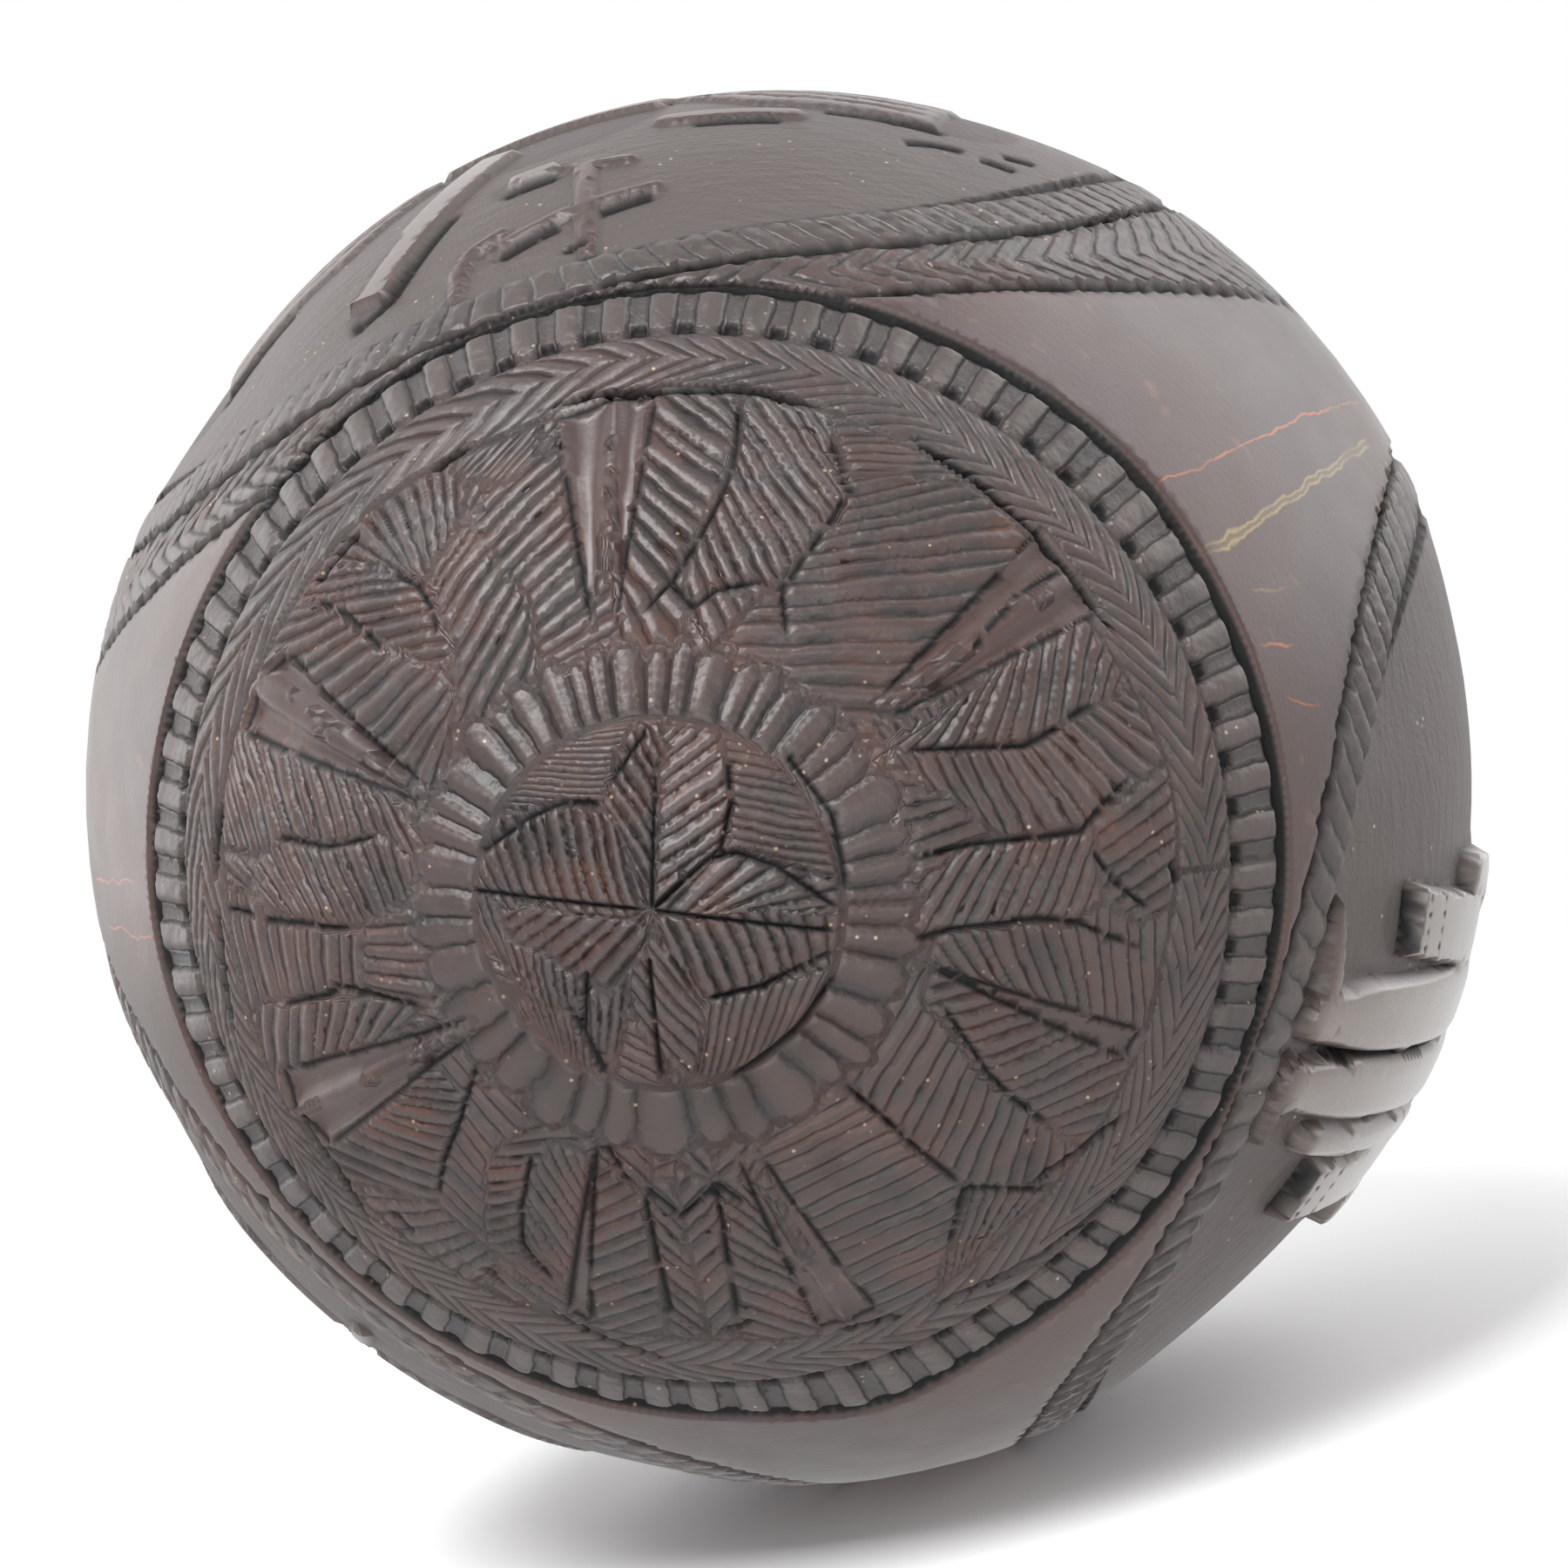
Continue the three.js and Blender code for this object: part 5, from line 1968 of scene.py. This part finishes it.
@dataclass
class Stopper:
    """Cork, leather washer and turned knob on one dowel."""

    form: NutForm
    cork_end: float = 59.0
    neck_top: float = NECK_TOP
    gap: float = FIT_GAP
    dowel: float = 1.2
    hole: float = 1.5
    dowel_low: float = 63.5
    dowel_high: float = 79.0
    dowel_sides: int = 20
    knob: Line = (
        (8, 0), (8.6, 0.8), (8.3, 1.5), (7.4, 1.9), (7.2, 1.7), (5, 2.8), (4, 4.2), (4.5, 5.2),
        (4.3, 5.5), (5.6, 6.2), (7, 7.4), (7.5, 8.6), (7.25, 9), (7.6, 9.4), (7.4, 10.4), (6.6, 11.8),
        (4.4, 13.4), (2.6, 14), (2.9, 14.5), (2.4, 15.2), (1.2, 15.8), (0, 16),
    )

    def turn(self, name: str, profile: Line, ease: float, sides: int = 64) -> Piece:
        """Piece from a profile turned about the flask's axis."""
        return new_piece(name, turned(profile, ease, self.form.axis_height, sides))

    def build(self) -> None:
        """Makes the four pieces of the stopper."""
        body, hole = Body.STOPPER, self.hole
        end, top = self.cork_end, self.neck_top
        cork = self.turn("stopper_cork_plug", (
            (0, end), (4.9, end), (5.3, end + 0.5), (5.85, top - 0.4), (5.45, top), (hole, top),
            (hole, self.dowel_low - self.gap), (0, self.dowel_low - self.gap),
        ), 0.3)
        settle(cork, body, Slot.CORK, CorkFinish().material(), "stopper_cork")
        low = top + self.gap
        washer = self.turn("leather_stopper_washer", (
            (hole, low + 0.5), (hole, low), (8.4, low), (8.5, low + 0.5), (8.4, low + 1),
            (hole, low + 1), (hole, low + 0.5),
        ), 0.22)
        settle(washer, body, Slot.LEATHER, LeatherFinish().material(), "stopper_washer")
        base = low + 1 + self.gap
        knob = self.turn("turned_stopper_knob", (
            (0, self.dowel_high + self.gap), (hole, self.dowel_high + self.gap), (hole, base),
            *((radius, base + rise) for radius, rise in self.knob),
        ), 0.4)
        wood = WoodFinish().material()
        settle(knob, body, Slot.WOOD, wood, "stopper_knob")
        dowel = self.turn("stopper_dowel", (
            (0, self.dowel_low), (0.9, self.dowel_low), (self.dowel, self.dowel_low + 0.4),
            (self.dowel, self.dowel_high - 0.4), (0.9, self.dowel_high), (0, self.dowel_high),
        ), 0.15, self.dowel_sides)
        settle(dowel, body, Slot.WOOD, wood, "stopper_pin")


@dataclass
class Studio:
    """Floor, soft lights and camera."""

    form: NutForm
    toward_camera: Vector = field(default_factory=lambda: Vector((0.1699, -0.9807, 0.0965)))
    camera_right: Vector = field(default_factory=lambda: Vector((0.9606, 0.1431, -0.2379)))
    distance: float = 0.5
    lens: float = 160.04
    sensor: float = 36.0
    shift: tuple[float, float] = (0.0015, 0.0034)
    floor_size: float = 6.0
    surround: float = 0.32

    def centre(self) -> Vector:
        """Middle of the shell."""
        return Vector((0, 0, self.form.axis_height * MM))

    def build(self) -> None:
        """Makes the stage."""
        self.build_camera()
        self.build_floor()
        self.build_lights()
        bpy.context.scene.view_settings.view_transform = "Standard"

    def build_camera(self) -> None:
        """Camera at the viewing angle of the picture, rolled with the flask's rest."""
        data = bpy.data.cameras.new("camera")
        data.lens = self.lens
        data.sensor_width = self.sensor
        data.shift_x, data.shift_y = self.shift
        camera = bpy.data.objects.new("camera", data)
        back = self.toward_camera.normalized()
        right = (self.camera_right - back * self.camera_right.dot(back)).normalized()
        up = back.cross(right)
        turn = Matrix((right, up, back)).transposed().to_4x4()
        camera.matrix_world = Matrix.Translation(self.centre() + back * self.distance) @ turn
        bpy.context.scene.collection.objects.link(camera)
        bpy.context.scene.camera = camera

    def build_floor(self) -> None:
        """Pale floor that keeps the shadow near the flask and is white further off."""
        bm = bmesh.new()
        bmesh.ops.create_grid(bm, x_segments=2, y_segments=2, size=self.floor_size / 2)
        mesh = bpy.data.meshes.new("floor")
        bm.to_mesh(mesh)
        bm.free()
        floor = bpy.data.objects.new("floor", mesh)
        bpy.context.scene.collection.objects.link(floor)
        sheet = NodeSheet("pale_floor")
        spot = sheet.add("ShaderNodeTexCoord", output="Object")
        away = sheet.add("ShaderNodeVectorMath", {"operation": "LENGTH"}, {0: spot}, "Value")
        rays = ("Is Camera Ray", "Is Glossy Ray", "Is Transmission Ray")
        seen, gloss, clear = (sheet.add("ShaderNodeLightPath", output=ray) for ray in rays)
        paint = sheet.add("ShaderNodeBsdfDiffuse", inputs={"Color": (0.9, 0.9, 0.9, 1)})
        white = sheet.add("ShaderNodeEmission", inputs={"Color": WHITE, "Strength": 1.0})
        share = (away.step(0.08, 0.2) * seen).most(gloss.most(clear))
        surface = sheet.add("ShaderNodeMixShader", inputs={0: share, 1: paint, 2: white})
        mesh.materials.append(sheet.close(surface))

    def build_lights(self) -> None:
        """Large soft boxes at both sides and above, and an even white surround."""
        self.soft_box("left_box", (-0.6, 0.3, 0.3), (0.5, 0.7), 3.0)
        self.soft_box("right_box", (0.6, 0.3, 0.4), (0.7, 0.8), 4.5)
        self.soft_box("top_box", (-0.15, -0.4, 0.8), (0.55, 0.45), 11.0)
        self.soft_box("back_box", (0.0, 0.9, 0.5), (1.8, 1.2), 8.0)
        self.soft_box("low_box", (0.1, -0.7, 0.07), (0.9, 0.12), 2.2)
        sheet = NodeSheet("surround", TreeEnd.WORLD)
        seen = sheet.add("ShaderNodeLightPath", output="Is Camera Ray")
        dim = sheet.add("ShaderNodeBackground", inputs={"Color": WHITE, "Strength": self.surround})
        white = sheet.add("ShaderNodeBackground", inputs={"Color": WHITE})
        surface = sheet.add("ShaderNodeMixShader", inputs={0: seen, 1: dim, 2: white})
        bpy.context.scene.world = sheet.close(surface)

    def soft_box(self, name: str, place: Numbers, size: Numbers, watts: float) -> None:
        """Adds an area lamp that faces the flask.

        Args:
            name: Name of the lamp.
            place: Its place in metres.
            size: Width and height in metres.
            watts: Its power.
        """
        data = bpy.data.lights.new(name, "AREA")
        data.shape = "RECTANGLE"
        data.size, data.size_y = size
        data.energy = watts
        lamp = bpy.data.objects.new(name, data)
        lamp.location = place
        lamp.visible_camera = False
        lamp.rotation_euler = (self.centre() - Vector(place)).to_track_quat("-Z", "Y").to_euler()
        bpy.context.scene.collection.objects.link(lamp)


def top_panel(form: NutForm) -> Panel:
    """Panel with a trophy of sword, gun barrel, flags and drum.

    Args:
        form: Outline of the nut.

    Returns:
        The panel.
    """
    panel = Panel(95.2, 41.5, 34, 45.4, 38, Border.ROPE_AND_FEATHERS, form,
                  sunk=0.95, proud=0.05, pitch=2.2)
    boss, cut, undercut = panel.carving.boss, panel.carving.cut, panel.carving.undercut
    # Sword with its guard and knuckle bow
    boss(((-4.4, -32.4), (-4.1, -19.6)), (0.9, 1.0), 0.5, 0.8)
    boss(((-2.6, -19.2), (-7.4, -19.9)), (0.7, 0.7), 0.45, 0.7)
    boss(((2.4, -28.4), (-2.6, -26.6), (-9.4, -25)), (0.8, 0.9, 0.8), 0.5, 0.8)
    boss(((1.8, -26.4), (4.2, -27.4), (5.2, -29.5), (5.4, -32.2)), (0.8, 0.9, 1.0, 0.8), 0.5, 0.8)
    # Gun barrel and the drum that it leans on
    boss(((12.7, -26.4), (7.2, -16.8), (3, -9)), (2, 2, 2), 1.0, 0.5, True)
    boss(((1.8, -18.9), (-2.4, -18.4)), (1.2, 1.1), 0.9, 0.5, True)
    boss(((0, -6), (0, 9)), (8.6, 8.6), 1.2, 0.7, True)
    boss(((0, 9), (0, 24)), (5.5, 3.6), 1.2, 0.8, True)
    for rim in (-4, 7):
        cut(((-8.6, rim), (8.6, rim)), 0.45, 0.4, start=0.01, end=0.01)
    lacing = [(-7.5 + 2.5 * step, -3 if step % 2 else 6) for step in range(7)]
    cut(lacing, 0.35, 0.32, start=0.01, end=0.01)
    for stave in (-2.6, 0, 2.6):
        cut(((stave, 10), (0.7 * stave, 23)), 0.35, 0.4)
    # Flags at both sides and their folds
    for side, low in ((-1, 0), (1, -5)):
        flag = ((side * 9, low), (side * 17, low - 4), (side * 29, low - 5))
        boss(flag, (3, 5, 5), 0.45, 1.5, True)
        undercut(((side * 20, low - 10), (side * 29.5, low - 10.2)))
        for fold in (-2.6, -0.4, 2.2):
            cut([(x, y + fold) for x, y in flag], 0.35, 0.6)
    boss(((-9.6, -12.1), (-18.4, -11.9)), (1.3, 1.2), 0.45, 0.8)
    # Shallow cuts with painted shadow under the sword, under the barrel and between the flags
    slots = (
        ((2.3, -29.7), (0, -28.8), (-2.7, -27.8)), ((-5.2, -27.5), (-9.3, -26.1)),
        ((-2.6, -31), (-4.6, -31.6)), ((13.8, -25.2), (9.9, -18.4)), ((2.2, -20.4), (-2.3, -19.9)),
        ((14, -26), (13.6, -28), (10.6, -27.2), (8.2, -23.6), (5.2, -18.8)),
        ((-11, -13.7), (-18, -13.4)), ((-26.4, -14.2), (-28.5, -13.2), (-31, -12.8)),
        ((-31.8, -13.4), (-34.8, -13.6)), ((-33.4, -11.3), (-36, -10.6)),
    )
    for slot in slots:
        undercut(slot)
    return panel


def right_panel(form: NutForm) -> Panel:
    """Panel with a standing figure in a coat.

    Args:
        form: Outline of the nut.

    Returns:
        The panel.
    """
    panel = Panel(325.7, 38.8, 34, 43.4, 37.8, Border.ROPE, form,
                  sunk=1.4, proud=0.9, bulge=1.85, pitch=2.7, wear_and_highlight=1, bars=0.4)
    boss, cut, undercut = panel.carving.boss, panel.carving.cut, panel.carving.undercut
    # Legs and pointed shoes
    boss(((3.6, -31.2), (3.9, -24), (4, -4)), (2, 2.8, 3), 2.3, 2)
    boss(((-1.5, -31), (-1.4, -24), (-1.2, -4)), (2.1, 2.6, 2.8), 2.3, 1.9)
    boss(((-5.7, -25.4), (-5.5, -4)), (1.3, 1.5), 2, 1)
    boss(((11.6, -31.2), (9.4, -30.9), (6.4, -30.6), (3.4, -31.2)), (0.6, 0.9, 1.2, 1.3), 1.6, 0.9)
    boss(((-0.2, -32.1), (-2.8, -31.8), (-5.8, -32)), (0.9, 0.8, 0.6), 1.5, 0.7)
    # Shallow cuts with a little painted shade between the legs
    undercut(((1.2, -30.4), (1.2, -22), (1.3, -8)), 0.15, 0.4)
    undercut(((0.9, -28.4), (0.2, -25.4)), 0.1, 0.35)
    # Coat tails with punched edges
    for side, inner, end in ((1, 10.7, -20.7), (-1, 10.2, -21.9)):
        tail = ((side * inner, end), (side * (inner - 0.6), end + 6), (side * (inner - 1.6), -3))
        boss(tail, (2.7, 2.7, 3), 1.6, 0.6, True)
        # Painted shadow along the end wall of the tail
        undercut(((side * (inner + 2.4), end), (side * (inner - 2.7), end)), 0.5, 0.5)
        # Punched dots with a little painted shade round them
        for dot in range(4):
            for back in (1.6, 4.4):
                spot = (side * (inner - 1.9 + 1.15 * dot), end + back)
                cut((spot, (spot[0] + 0.1, spot[1])), 0.35, 0.28, start=0.01, end=0.01, stain=0.12)
        arm = ((side * 13.4, -7), (side * 12.2, -1), (side * 8, 11))
        boss(arm, (1.6, 2.3, 2.4), 2.2, 1.5)
        cut(((side * 1.6, 18.6), (side * 2.6, 18.6)), 0.35, 0.4)
    boss(((0, -3), (0, 12)), (6.2, 7.8), 1.8, 2.2, True)
    boss(((0, 14.6), (0, 19.4)), (3, 3.5), 1.8, 1.8)
    boss(((-5.6, 22.2), (5.6, 22.2)), (0.8, 0.8), 1.9, 0.7)
    boss(((0, 22.4), (0, 26)), (3.8, 3.2), 1.9, 1.2, True)
    cut(((-6, -2), (6, -2)), 0.5, 0.45, start=0.01, end=0.01)
    cut(((0, 17.8), (0, 16.4)), 0.3, 0.35)
    cut(((-1.2, 14.9), (0, 14.6), (1.2, 14.9)), 0.3, 0.35)
    for button in range(4):
        cut(((-0.1, 2.5 * button), (0.1, 2.5 * button)), 0.5, 0.5, start=0.01, end=0.01)
    return panel


def left_panel(form: NutForm) -> Panel:
    """Panel with a flower spray.

    Args:
        form: Outline of the nut.

    Returns:
        The panel.
    """
    panel = Panel(219.5, 33.3, 30.5, 38.8, 36, Border.CHIPS, form,
                  sunk=0.7, proud=0.0, bulge=2.0, pitch=2.7, coarse=1.25)
    boss, cut = panel.carving.boss, panel.carving.cut
    boss(((0, -24), (0, -8)), (1, 1.4), 1.2, 0.9)
    for side in (-1, 1):
        boss(((side * 2, -16), (side * 9, -14), (side * 18, -9)), (0.8, 4.6, 0.6), 1.3, 1.2)
        cut(((side * 3, -15.8), (side * 9, -14), (side * 16.5, -10)), 0.45, 0.5)
    for index in range(8):
        turn = FULL_TURN * index / 8
        way = np.array([math.cos(turn), math.sin(turn)])
        boss((5 * way + (0, 1), 11 * way + (0, 1)), (2.2, 3.2), 1.4, 1.4)
        cut((5 * way + (0, 1), 12.5 * way + (0, 1)), 0.4, 0.6)
    boss(((0, 0.6), (0, 1.4)), (4, 4), 1.7, 1.6)
    return panel


def main() -> None:
    """Builds the flask in order."""
    logging.basicConfig(level=logging.INFO, format="%(name)s %(message)s")
    form = NutForm()
    Studio(form).build()
    panels = (top_panel(form), right_panel(form), left_panel(form))
    CarvedShell(form, panels, StemRing(form)).build()
    Neck(form).build()
    Stopper(form).build()


if __name__ == "__main__":
    main()
